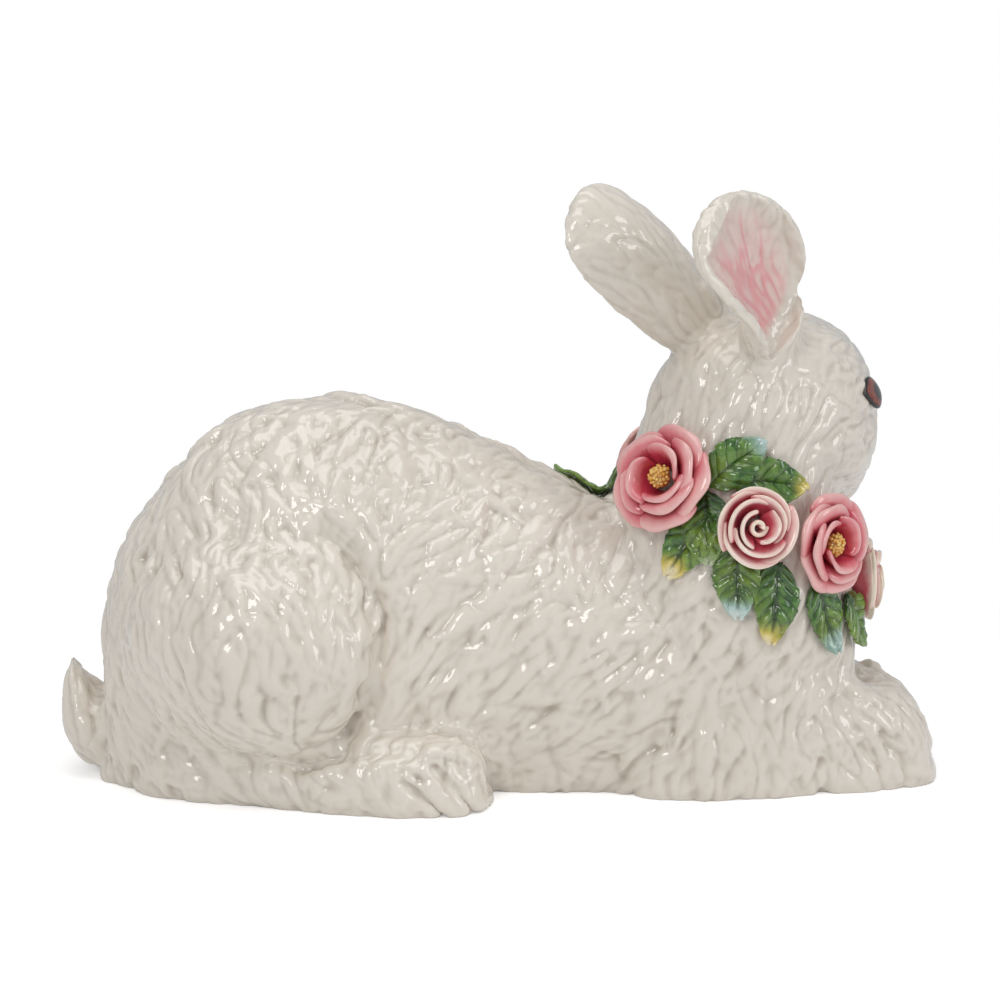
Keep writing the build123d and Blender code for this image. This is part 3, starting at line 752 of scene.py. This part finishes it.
def split_skin(skin):
    """Part the skin into pieces that each close, at flat cuts that the coat and the collar hide."""
    x_axis = Vector((1, 0, 0))
    below_seam = (SEAM_ORIGIN, SEAM_UP)
    above_seam = (SEAM_ORIGIN, -SEAM_UP)
    under_ears = (Vector((0, 0, EAR_LEVEL)), Vector((0, 0, 1)))
    over_head = (under_ears[0], -under_ears[1])
    head_middle = Vector((HEAD_CUT, 0, 0))
    parts = []
    low = None
    for name, high in BODY_SLICES:
        cuts = [] if low is None else [(Vector((low, 0, 0)), -x_axis)]
        cuts += [] if high is None else [(Vector((high, 0, 0)), x_axis)]
        nodes = []
        for node in ("body_shell", *LIMB_NODES):
            back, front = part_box(node)[0][0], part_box(node)[1][0]
            if (high is None or back < high) and (low is None or front > low):
                nodes.append(node)
        parts.append((name, cuts + [below_seam], nodes))
        low = high
    parts += [
        ("head_back_glazed", [above_seam, under_ears, (head_middle, x_axis)], ["head_shell"]),
        ("head_front_glazed", [above_seam, under_ears, (head_middle, -x_axis)], ["head_shell"]),
        ("ears_glazed", [above_seam, over_head], ["ear_left", "ear_right"]),
    ]
    for name, cuts, nodes in parts:
        piece = cut_piece(skin, name, cuts)
        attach(piece, "root")
        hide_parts(*nodes)
    bpy.data.objects.remove(skin)


# Glazes


def emptied_tree(owner, output):
    """The cleared node tree of a material or world, and the surface of its new output."""
    owner.use_nodes = True
    tree = owner.node_tree
    tree.nodes.clear()
    return tree, tree.nodes.new(output).inputs["Surface"]


def feed(tree, source, socket):
    """Link a socket, or set a plain value."""
    if isinstance(source, (int, float, tuple)):
        socket.default_value = source
    else:
        tree.links.new(source, socket)


def feed_all(tree, node, inputs):
    """Feed a node's inputs, given by name or number."""
    for key, source in inputs.items():
        feed(tree, source, node.inputs[key])


def add_node(tree, kind, inputs):
    """A new node with the given inputs."""
    node = tree.nodes.new(kind)
    feed_all(tree, node, inputs)
    return node


def new_material(name):
    """A node material with only a glaze shader in it."""
    material = bpy.data.materials.new(name)
    tree, surface = emptied_tree(material, "ShaderNodeOutputMaterial")
    shader = tree.nodes.new("ShaderNodeBsdfPrincipled")
    tree.links.new(shader.outputs["BSDF"], surface)
    return material, tree, shader


def value_at(tree, name):
    """A value kept at the points of a piece."""
    node = tree.nodes.new("ShaderNodeAttribute")
    node.attribute_name = name
    return node.outputs["Fac"]


def object_place(tree):
    """The place on the piece, in metres."""
    return tree.nodes.new("ShaderNodeTexCoord").outputs["Object"]


def noise(tree, vector, scale, detail=2.0, roughness=0.5):
    """Cloudy noise at a scale."""
    inputs = {"Scale": scale, "Detail": detail, "Roughness": roughness, "Vector": vector}
    return add_node(tree, "ShaderNodeTexNoise", inputs).outputs["Fac"]


def mix(tree, share, first, second):
    """Mix two colours."""
    node = tree.nodes.new("ShaderNodeMix")
    node.data_type = "RGBA"
    feed_all(tree, node, {0: share, 6: first, 7: second})
    return node.outputs[2]


def ramp(tree, value, low, high, to_low=0.0, to_high=1.0):
    """Stretch a value between two ends, softly."""
    node = tree.nodes.new("ShaderNodeMapRange")
    node.interpolation_type = "SMOOTHSTEP"
    inputs = {"Value": value, "From Min": low, "From Max": high, "To Min": to_low, "To Max": to_high}
    feed_all(tree, node, inputs)
    return node.outputs["Result"]


def arithmetic(tree, kind, *values):
    """One step of arithmetic."""
    node = tree.nodes.new("ShaderNodeMath")
    node.operation = kind
    feed_all(tree, node, dict(enumerate(values)))
    return node.outputs["Value"]


def glaze_group():
    """Glaze over carving: it goes darker in hollows, partly as pooled glaze and partly as painted shade,
    varies a little and leaves a rippled surface.
    """
    group = bpy.data.node_groups.new("glaze_pooled_and_shaded", "ShaderNodeTree")
    for way, name, kind in (
        ("INPUT", "Color", "Color"), ("INPUT", "Pool And Shade Color", "Color"), ("INPUT", "Hollow", "Float"),
        ("INPUT", "Pooling And Shade", "Float"), ("INPUT", "Ripple", "Float"), ("OUTPUT", "Color", "Color"),
        ("OUTPUT", "Roughness", "Float"), ("OUTPUT", "Normal", "Vector"),
    ):
        group.interface.new_socket(name, in_out=way, socket_type=f"NodeSocket{kind}")
    given = group.nodes.new("NodeGroupInput").outputs
    place = object_place(group)
    cloud = ramp(group, noise(group, place, 38, 3), 0.3, 0.75, 0.55, 1.25)
    # Darker in hollows: partly pooled glaze, partly painted shade
    pooled_and_shaded = arithmetic(group, "MULTIPLY", given["Hollow"], given["Pooling And Shade"])
    pooled_and_shaded = arithmetic(group, "MINIMUM", arithmetic(group, "MULTIPLY", pooled_and_shaded, cloud), 1.0)
    tinted = mix(group, pooled_and_shaded, given["Color"], given["Pool And Shade Color"])
    soft = ramp(group, noise(group, place, 14, 2), 0.35, 0.7, 0.0, 0.09)
    wave, fine = noise(group, place, 170, 2), noise(group, place, 620, 2)
    height = arithmetic(group, "MULTIPLY_ADD", fine, 0.25, wave)
    bump = {"Strength": given["Ripple"], "Distance": 0.4 * MM, "Height": height}
    results = {
        "Color": mix(group, soft, tinted, given["Pool And Shade Color"]),
        "Roughness": ramp(group, noise(group, place, 120, 2), 0.3, 0.7, 0.07, 0.12),
        "Normal": add_node(group, "ShaderNodeBump", bump).outputs["Normal"],
    }
    add_node(group, "NodeGroupOutput", results)
    return group


def place_glaze(tree, shader, colour, pool_and_shade, hollow, pooling_and_shade, ripple):
    """Lay the shared glaze over a colour and feed the shader."""
    node = tree.nodes.new("ShaderNodeGroup")
    node.node_tree = bpy.data.node_groups.get("glaze_pooled_and_shaded") or glaze_group()
    inputs = {"Color": colour, "Pool And Shade Color": pool_and_shade, "Hollow": hollow, "Pooling And Shade": pooling_and_shade, "Ripple": ripple}
    feed_all(tree, node, inputs)
    glazed = {
        "Base Color": node.outputs["Color"], "Roughness": node.outputs["Roughness"],
        "Normal": node.outputs["Normal"], "IOR": 1.5, "Coat Weight": 0.5, "Coat Roughness": 0.04,
    }
    feed_all(tree, shader, glazed)


def white_glaze():
    """Warm white glaze over the coat, taupe in the grooves as partly pooled glaze and partly painted shade,
    pink in the ears and bare clay underneath.
    """
    material, tree, shader = new_material("white_glaze")
    lines = ramp(tree, value_at(tree, "strand"), 0.2, 0.95, 1.0, 0.45)
    pink = arithmetic(tree, "MULTIPLY", value_at(tree, "blush"), lines)
    base = mix(tree, pink, linear(229, 221, 209), linear(230, 166, 166))
    base = mix(tree, value_at(tree, "nose"), base, linear(222, 134, 138))
    base = mix(tree, value_at(tree, "raw"), base, linear(214, 204, 190))
    # Taupe, and pink-brown in the ears: the colour of the grooves, partly pooled glaze and partly painted
    # shade
    pool_and_shade = mix(tree, pink, linear(160, 145, 128), linear(204, 122, 126))
    place_glaze(tree, shader, base, pool_and_shade, value_at(tree, "hollow"), 0.7, 0.16)
    return material


def varied(tree, value, cloud, strength):
    """A value with cloudy noise about its middle added."""
    swing = arithmetic(tree, "MULTIPLY", arithmetic(tree, "SUBTRACT", cloud, 0.5), strength)
    return arithmetic(tree, "ADD", value, swing)


def petal_glaze(name, pale, middle, deep, edge):
    """Petal glaze: pale at the rim, and deep where the petal goes down into the flower and where petals
    overlap, partly the rose's own colour and partly painted shade in the folds.
    """
    material, tree, shader = new_material(name)
    place = object_place(tree)
    # Depth: more towards the flower's middle and at the overlapping sides, partly the rose's own colour and
    # partly painted shade in the folds
    depth = varied(tree, value_at(tree, "depth"), noise(tree, place, 210, 3, 0.6), 0.5)
    depth = varied(tree, depth, noise(tree, place, 60, 2), 0.6)
    colour = mix(tree, ramp(tree, depth, 0.02, 0.42), pale, middle)
    colour = mix(tree, ramp(tree, depth, 0.40, 0.90), colour, deep)
    # Paler edge along the rim: partly the glaze's own, partly a painted highlight
    rim = ramp(tree, value_at(tree, "rim"), 0.72, 1.0, 0.0, 0.6)
    colour = mix(tree, rim, colour, edge)
    place_glaze(tree, shader, colour, deep, ramp(tree, depth, 0.5, 1.1), 0.8, 0.12)
    return material


def stamen_glaze():
    """Ochre grains, with brown painted shade between them and on the lower side of each grain."""
    material, tree, shader = new_material("stamen_glaze")
    place = object_place(tree)
    grain = ramp(tree, noise(tree, place, 520, 3), 0.35, 0.65)
    colour = mix(tree, grain, linear(226, 166, 70), linear(246, 214, 128))
    # Brown on the dome between the grains and on each grain's lower side: painted shade
    place_glaze(tree, shader, colour, linear(150, 84, 48), value_at(tree, "depth"), 0.8, 0.3)
    return material


def leaf_glaze(name, tip):
    """Brushed green with dark veins, fading to another colour at the tip."""
    material, tree, shader = new_material(name)
    place = object_place(tree)
    streak = noise(tree, place, 240, 4, 0.65)
    broad = noise(tree, place, 70, 2)
    green = mix(tree, ramp(tree, streak, 0.35, 0.68), linear(40, 84, 36), linear(96, 140, 62))
    green = mix(tree, ramp(tree, broad, 0.35, 0.7, 0.0, 0.45), green, linear(150, 172, 62))
    vein = value_at(tree, "vein")
    along = value_at(tree, "along")
    fading = varied(tree, along, broad, 0.5)
    green = mix(tree, ramp(tree, along, 0.0, 0.35, 0.55, 0.0), green, linear(30, 62, 26))
    colour = mix(tree, ramp(tree, fading, 0.70, 1.02), green, tip)
    colour = mix(tree, ramp(tree, fading, 0.88, 1.12, 0.0, 0.8), colour, linear(236, 232, 222))
    dark = arithmetic(tree, "MULTIPLY", vein, ramp(tree, along, 0.7, 1.0, 0.85, 0.15))
    colour = mix(tree, dark, colour, linear(26, 50, 22))
    place_glaze(tree, shader, colour, linear(34, 58, 24), vein, 0.35, 0.15)
    return material


def eye_glaze():
    """Painted eye: black rim and pupil, red-brown iris."""
    material, tree, shader = new_material("eye_glaze")
    grain = ramp(tree, noise(tree, object_place(tree), 900, 2), 0.35, 0.65)
    iris = mix(tree, grain, linear(104, 44, 34), linear(142, 70, 52))
    colour = mix(tree, ramp(tree, value_at(tree, "pupil"), 0.45, 0.62, 1.0, 0.0), iris, linear(10, 8, 8))
    colour = mix(tree, ramp(tree, value_at(tree, "radius"), 0.80, 0.88), colour, linear(14, 10, 10))
    gloss = {"Base Color": colour, "Roughness": 0.05, "Coat Weight": 0.6, "Coat Roughness": 0.02}
    feed_all(tree, shader, gloss)
    return material


# Flowers


def seat_on(ground, turn, lift):
    """Where a ray round the collar meets the skin, with the surface's own directions."""
    angle = radians(turn)
    outwards = SEAM_FORWARD * cos(angle) + Vector((0, 1, 0)) * sin(angle)
    start = SEAM_ORIGIN + SEAM_UP * lift * MM
    point, normal = ground.ray_cast(start + outwards * 0.15, -outwards)[:2]
    around = [normal]
    for side in (-1, 1):
        for tilt in (-1, 1):
            spread = SEAM_UP.cross(normal) * side * 0.007 + SEAM_UP * tilt * 0.007
            hit = ground.ray_cast(point + spread + outwards * 0.05, -outwards)
            if hit[0] is not None:
                around.append(hit[1])
    normal = (sum(around, Vector()).normalized() + outwards * 0.25).normalized()
    across = SEAM_UP.cross(normal).normalized()
    return point, across, normal.cross(across).normalized(), normal


def ring_points(reach, angle, lift):
    """Points at a reach and angle round the flower's middle and at a height, all in mm."""
    return np.stack([reach * np.cos(angle), reach * np.sin(angle), lift], axis=1) * MM


def add_petal(spec):
    """One cupped petal about the flower's middle, its rim rolled outwards, z up out of the flower."""
    petal, u, length_place = add_grid(*PETAL_GRID)
    v = (length_place + 1) / 2
    half = radians(spec["arc"]) / 2
    outline = 1 - 0.16 * np.abs(u) ** 3 + 0.03 * np.sin(7 * u + spec["turn"])
    v_cut = v * outline
    reach = spec["inner"] + (spec["outer"] - spec["inner"]) * v_cut ** spec["flare"]
    reach += spec["lap"] * u * v
    lift = spec["low"] + (spec["high"] - spec["low"]) * np.sin(v_cut * pi / 2) ** spec["cup"]
    roll = np.clip(v_cut - 0.72, 0, 1) / 0.28
    reach += spec["roll"] * roll**1.5
    lift -= 0.75 * spec["roll"] * roll**2.2
    reach -= spec["close"] * v_cut**3
    lift -= spec["droop"] * np.abs(u) ** 2.5 * v
    lift += 0.35 * np.sin(3.2 * u + 2 * v + spec["turn"] * 0.1) * v
    angle = radians(spec["turn"]) + half * u * (1 - 0.12 * v)
    set_points(petal, ring_points(reach, angle, lift))
    # Depth for the glaze: more towards the middle and at the overlapping sides, partly painted shade
    keep_values(petal, "depth", np.clip(1.28 - v_cut * 1.3 + spec["deep"] * np.abs(u) ** 2, 0, 1.2))
    keep_values(petal, "rim", np.clip(v_cut, 0, 1))
    thicken(petal, spec["thickness"])
    return petal


def petal_ring(count, start, spec, chance, unrest):
    """Petals round a flower, each a little different."""
    petals = []
    for k in range(count):
        own = dict(
            spec,
            turn=start + k * 360 / count + chance.uniform(-unrest, unrest),
            arc=spec["arc"] * chance.uniform(0.92, 1.1),
            outer=spec["outer"] * chance.uniform(0.95, 1.03),
            high=spec["high"] * chance.uniform(0.92, 1.06),
            low=spec["low"] + 0.35 * (k % 2),
        )
        petals.append(add_petal(own))
    return petals


def settle(piece, seat):
    """Carry a flower modelled about the origin to its seat."""
    point, across, _, normal = seat
    base = np.array([across, normal.cross(across), normal])
    set_points(piece, points_of(piece) @ base + np.array(point))


def add_stamens(chance):
    """A domed cluster of pollen grains."""
    dome = add_mesh(
        bpy.ops.mesh.primitive_uv_sphere_add,
        segments=24, ring_count=12, radius=DOME_RADIUS * MM, location=(0, 0, DOME_HEIGHT * MM),
    )
    # The dome between the grains gets the brown painted shade
    keep_values(dome, "depth", np.full(len(dome.data.vertices), 0.9))
    grains = [dome]
    for k in range(GRAINS):
        rise = 1 - 0.9 * (k + 0.5) / GRAINS
        angle = k * GOLDEN_ANGLE + chance.uniform(-0.2, 0.2)
        level = np.sqrt(1 - rise * rise)
        reach = GRAIN_REACH + chance.uniform(-0.4, 0.5)
        size = chance.uniform(*GRAIN_SIZES) * MM
        place = (
            reach * level * cos(angle) * MM,
            reach * level * sin(angle) * MM,
            (DOME_HEIGHT + reach * rise * 0.95) * MM,
        )
        grain = add_mesh(bpy.ops.mesh.primitive_ico_sphere_add, subdivisions=2, radius=size, location=place)
        # The lower side of each grain gets the brown painted shade
        drop = (place[2] - points_of(grain)[:, 2]) / size
        keep_values(grain, "depth", fade(drop, -0.2, 0.9) * 0.8)
        grains.append(grain)
    return join(grains, "stamens")


def add_furl(turns, low_reach, high_reach, base, top, thickness):
    """A rolled strip of petal, tight at the middle of a bud."""
    strip, length_place, height_place = add_grid(*FURL_GRID)
    share = (length_place + 1) / 2
    v = (height_place + 1) / 2
    reach = low_reach + (high_reach - low_reach) * share**1.1 + 0.8 * (v - 0.5)
    lift = base + (top - base) * v - 2.2 * share * v
    set_points(strip, ring_points(reach, 2 * pi * turns * share, lift))
    # Depth for the glaze: more low down and at the tight inner end of the roll, partly painted shade
    keep_values(strip, "depth", np.clip(1.0 - v, 0, 1) + 0.25 * (1 - share))
    keep_values(strip, "rim", v)
    thicken(strip, thickness)
    return strip


def make_roses(ground, glazes):
    """All roses of the collar, in three pieces each: outer petals, inner petals and heart."""
    for number, (kind, turn, lift, radius, spin, seed) in enumerate(ROSES, 1):
        chance = np.random.default_rng(seed)
        seat = seat_on(ground, turn, lift)
        parts = {"outer_petals": [], "inner_petals": []}
        for part, count, start, unrest, shape in ROSE_RINGS[kind]:
            spec = dict(zip(PETAL_KEYS, shape))
            parts[part] += petal_ring(count, spin + start, spec, chance, unrest)
        if kind == "open":
            parts["heart"] = [add_stamens(chance)]
            petal_slot, heart_slot = "pink_glaze", "stamen_glaze"
        else:
            furl = add_furl(turns=1.1, low_reach=1.2, high_reach=3.4, base=3.0, top=11.6, thickness=1.9)
            parts["heart"] = [furl]
            petal_slot, heart_slot = "cream_glaze", "cream_glaze"
        for part, pieces in parts.items():
            name = f"rose_{number}_{part}"
            slot = heart_slot if part == "heart" else petal_slot
            piece = join(pieces, f"{name}_glazed")
            set_points(piece, points_of(piece) * (radius / DRAWN_RADIUS[kind]))
            settle(piece, seat)
            dress(piece, glazes[slot])
            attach(piece, "root")
            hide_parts(name)


def leaf_shape(s, t, length, number):
    """Places along, aside and above the neck in mm, and the veins; s runs along the leaf and t across."""
    wide = np.abs(t)
    half = LEAF_HALF * np.sin(pi * np.clip(s, 0, 1) ** 0.82) ** 0.75 + 0.15
    teeth = (s * LEAF_TEETH) % 1.0
    half = half * (1 - 0.13 * teeth * (s > 0.12) * wide**6)
    x = (s - 0.5) * LEAF_STRETCH * length + 1.1 * teeth * wide**6 * (s > 0.12) * (s < 0.95)
    y = half * t + 0.9 * np.sin(2.4 * s + number) * s
    rib = (s * LEAF_RIBS - 1.5 * wide) % 1.0
    side_vein = np.exp(-((np.minimum(rib, 1 - rib) / 0.10) ** 2)) * (wide > 0.08) * fade(1 - wide, 0, 0.2)
    middle_vein = np.exp(-((t / 0.085) ** 2))
    vein = np.clip(middle_vein + 0.75 * side_vein, 0, 1) * fade(1 - s, 0.02, 0.2)
    puff = 0.9 * np.sin(pi * rib) * np.abs(np.sin(pi * np.clip(wide, 0, 1) ** 0.8)) * fade(1 - s, 0, 0.3)
    fold = 1.3 * wide**1.2 * fade(s, 0.0, 0.5)
    rise = 1.9 + puff - 0.9 * vein + fold + 1.2 * fade(s, 0.75, 1.0) + 0.5 * np.sin(9 * s + 5 * t)
    return x, y, rise, vein


def make_leaves(ground, glazes):
    """Serrated, veined leaves that lie on the neck and lift at the tip."""
    for number, (turn, lift, tip_turn, length, tip) in enumerate(LEAVES, 1):
        point, across, upward, normal = seat_on(ground, turn, lift)
        angle = radians(tip_turn)
        forward = across * cos(angle) + upward * sin(angle)
        beside = normal.cross(forward)
        leaf, length_place, t = add_grid(*LEAF_GRID)
        s = (length_place + 1) / 2
        x, y, rise, vein = leaf_shape(s, t, length, number)
        placed = []
        for along, aside, above in zip(x.tolist(), y.tolist(), rise.tolist()):
            foot = point + forward * along * MM + beside * aside * MM
            hit = ground.ray_cast(foot + normal * LEAF_ABOVE, -normal, LEAF_SEARCH)[0]
            level = (hit - foot).dot(normal) if hit is not None else LEAF_UNHELD
            placed.append(foot + normal * (max(level, LEAF_LOWEST) + above * MM))
        shaped = np.array([tuple(place) for place in placed])
        set_points(leaf, shaped)
        outwards = np.array(normal)
        heights = (shaped - np.array(point)) @ outwards
        evened = relax(heights, edges_of(leaf), 0.5, 3)
        shaped += (evened - heights)[:, None] * outwards * 0.6
        set_points(leaf, shaped)
        keep_values(leaf, "vein", vein)
        keep_values(leaf, "along", s)
        in_edit_mode(leaf, bpy.ops.mesh.normals_make_consistent, inside=False)
        thicken(leaf, LEAF_THICKNESS, -1)
        rename(leaf, f"leaf_{number:02d}_glazed")
        dress(leaf, glazes[f"leaf_{tip}"])
        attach(leaf, "root")
        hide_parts(f"leaf_{number:02d}")


def make_eye(side, ground, glaze):
    """A painted almond eye, slightly domed over the head."""
    low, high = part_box(f"eye_{side}")
    middle = (Vector(low) + Vector(high)) / 2
    point, normal = ground.find_nearest(middle)[:2]
    outwards = (middle - HEAD_MIDDLE).normalized()
    normal = (normal + outwards * 0.4).normalized()
    forward = (FACE - normal * FACE.dot(normal)).normalized()
    upward = Vector((0, 0, 1))
    upward = (upward - normal * upward.dot(normal) - forward * upward.dot(forward)).normalized()
    eye = add_mesh(bpy.ops.mesh.primitive_uv_sphere_add, segments=48, ring_count=32, radius=1)
    a, b, c = points_of(eye).T
    lid = 1 - np.where(a < 0, 0.75, 0.3) * np.abs(a) ** 2
    along = a * np.where(a < 0, EYE_BACK, EYE_FRONT)
    proud = np.where(c > 0, c * EYE_PROUD, c * EYE_SUNK)
    base = np.array([forward, upward, normal])
    local = np.stack([along, b * EYE_HALF_HEIGHT * lid, proud], axis=1) * MM
    set_points(eye, local @ base + np.array(point))
    keep_values(eye, "radius", np.sqrt(a**2 + b**2))
    keep_values(eye, "pupil", np.sqrt(((along - PUPIL_PLACE) / PUPIL_REACH) ** 2 + (b * 0.9) ** 2))
    rename(eye, f"eye_{side}_painted")
    in_edit_mode(eye, bpy.ops.mesh.normals_make_consistent, inside=False)
    dress(eye, glaze)
    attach(eye, "root")
    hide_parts(f"eye_{side}")


# Floor, light and camera


def light_node(tree, kind, colour, strength):
    """The light of an emission or background node."""
    return add_node(tree, kind, {"Color": colour, "Strength": strength}).outputs[0]


def mixed_light(tree, share, first, second):
    """The mix of two shaders."""
    return add_node(tree, "ShaderNodeMixShader", {0: share, 1: first, 2: second}).outputs[0]


def add_floor():
    """A pale floor that runs out into a white backdrop."""
    floor = add_mesh(bpy.ops.mesh.primitive_plane_add, size=FLOOR_SIZE, location=(0, 0, 0))
    floor.name = "floor"
    material = bpy.data.materials.new("white_floor")
    tree, surface = emptied_tree(material, "ShaderNodeOutputMaterial")
    seen = tree.nodes.new("ShaderNodeLightPath").outputs["Is Camera Ray"]
    paint = add_node(tree, "ShaderNodeBsdfDiffuse", {"Color": linear(250, 250, 250)}).outputs[0]
    glow = light_node(tree, "ShaderNodeEmission", (1.0, 1.0, 1.0, 1.0), FLOOR_GLOW)
    lit = add_node(tree, "ShaderNodeAddShader", {0: paint, 1: glow}).outputs[0]
    near = mixed_light(tree, seen, paint, lit)
    backdrop = light_node(tree, "ShaderNodeEmission", (1.0, 1.0, 1.0, 1.0), 1.0)
    reach = tree.nodes.new("ShaderNodeVectorMath")
    reach.operation = "LENGTH"
    feed(tree, object_place(tree), reach.inputs[0])
    away = arithmetic(tree, "MULTIPLY", ramp(tree, reach.outputs["Value"], *FLOOR_FADE), seen)
    tree.links.new(mixed_light(tree, away, near, backdrop), surface)
    floor.data.materials.append(material)


def add_world():
    """White all round, seen as plain white by the camera."""
    world = bpy.data.worlds.new("studio")
    bpy.context.scene.world = world
    tree, surface = emptied_tree(world, "ShaderNodeOutputWorld")
    soft = light_node(tree, "ShaderNodeBackground", WORLD_COLOUR, WORLD_STRENGTH)
    plain = light_node(tree, "ShaderNodeBackground", (1, 1, 1, 1), 1.0)
    seen = tree.nodes.new("ShaderNodeLightPath").outputs["Is Camera Ray"]
    tree.links.new(mixed_light(tree, seen, soft, plain), surface)


def add_lights():
    """A large soft box above, one in front at the left and one at the right."""
    for name, place, target, size, power, colour in LAMPS:
        light = bpy.data.lights.new(name, "AREA")
        light.shape = "RECTANGLE"
        light.size, light.size_y = size
        light.energy = power
        light.color = colour
        lamp = bpy.data.objects.new(name, light)
        lamp.location = place
        lamp.rotation_euler = (Vector(target) - Vector(place)).to_track_quat("-Z", "Y").to_euler()
        bpy.context.scene.collection.objects.link(lamp)


def add_camera():
    """The photograph's camera."""
    camera = bpy.data.cameras.new("camera")
    camera.lens = CAMERA_LENS
    camera.sensor_width = CAMERA_SENSOR
    holder = bpy.data.objects.new("camera", camera)
    holder.location = CAMERA_PLACE
    holder.rotation_euler = (radians(CAMERA_TILT), 0, 0)
    bpy.context.scene.collection.objects.link(holder)
    bpy.context.scene.camera = holder


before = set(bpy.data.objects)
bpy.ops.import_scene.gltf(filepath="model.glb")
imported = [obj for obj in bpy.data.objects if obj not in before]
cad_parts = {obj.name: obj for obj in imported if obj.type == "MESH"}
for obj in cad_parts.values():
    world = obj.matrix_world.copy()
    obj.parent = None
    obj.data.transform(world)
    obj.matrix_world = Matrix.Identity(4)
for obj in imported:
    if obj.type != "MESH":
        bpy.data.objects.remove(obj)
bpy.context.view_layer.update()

bpy.context.scene.view_settings.view_transform = "Standard"

skin = carve_fur(cast_skin())
dress(skin, white_glaze())
ground = BVHTree.FromObject(skin, bpy.context.evaluated_depsgraph_get())
glazes = {
    "pink_glaze": petal_glaze(
        "pink_petal_glaze",
        pale=linear(236, 172, 170),
        middle=linear(222, 122, 128),
        deep=linear(192, 56, 76),
        edge=linear(240, 200, 194),
    ),
    "cream_glaze": petal_glaze(
        "cream_petal_glaze",
        pale=linear(246, 228, 218),
        middle=linear(242, 204, 198),
        deep=linear(216, 92, 108),
        edge=linear(246, 238, 212),
    ),
    "stamen_glaze": stamen_glaze(),
    "leaf_green": leaf_glaze("green_leaf_glaze", linear(130, 164, 84)),
    "leaf_yellow": leaf_glaze("yellow_leaf_glaze", linear(232, 208, 96)),
    "leaf_blue": leaf_glaze("blue_leaf_glaze", linear(178, 208, 206)),
}
make_roses(ground, glazes)
make_leaves(ground, glazes)
eye_paint = eye_glaze()
for eye_side in ("right", "left"):
    make_eye(eye_side, ground, eye_paint)
split_skin(skin)
add_floor()
add_world()
add_lights()
add_camera()
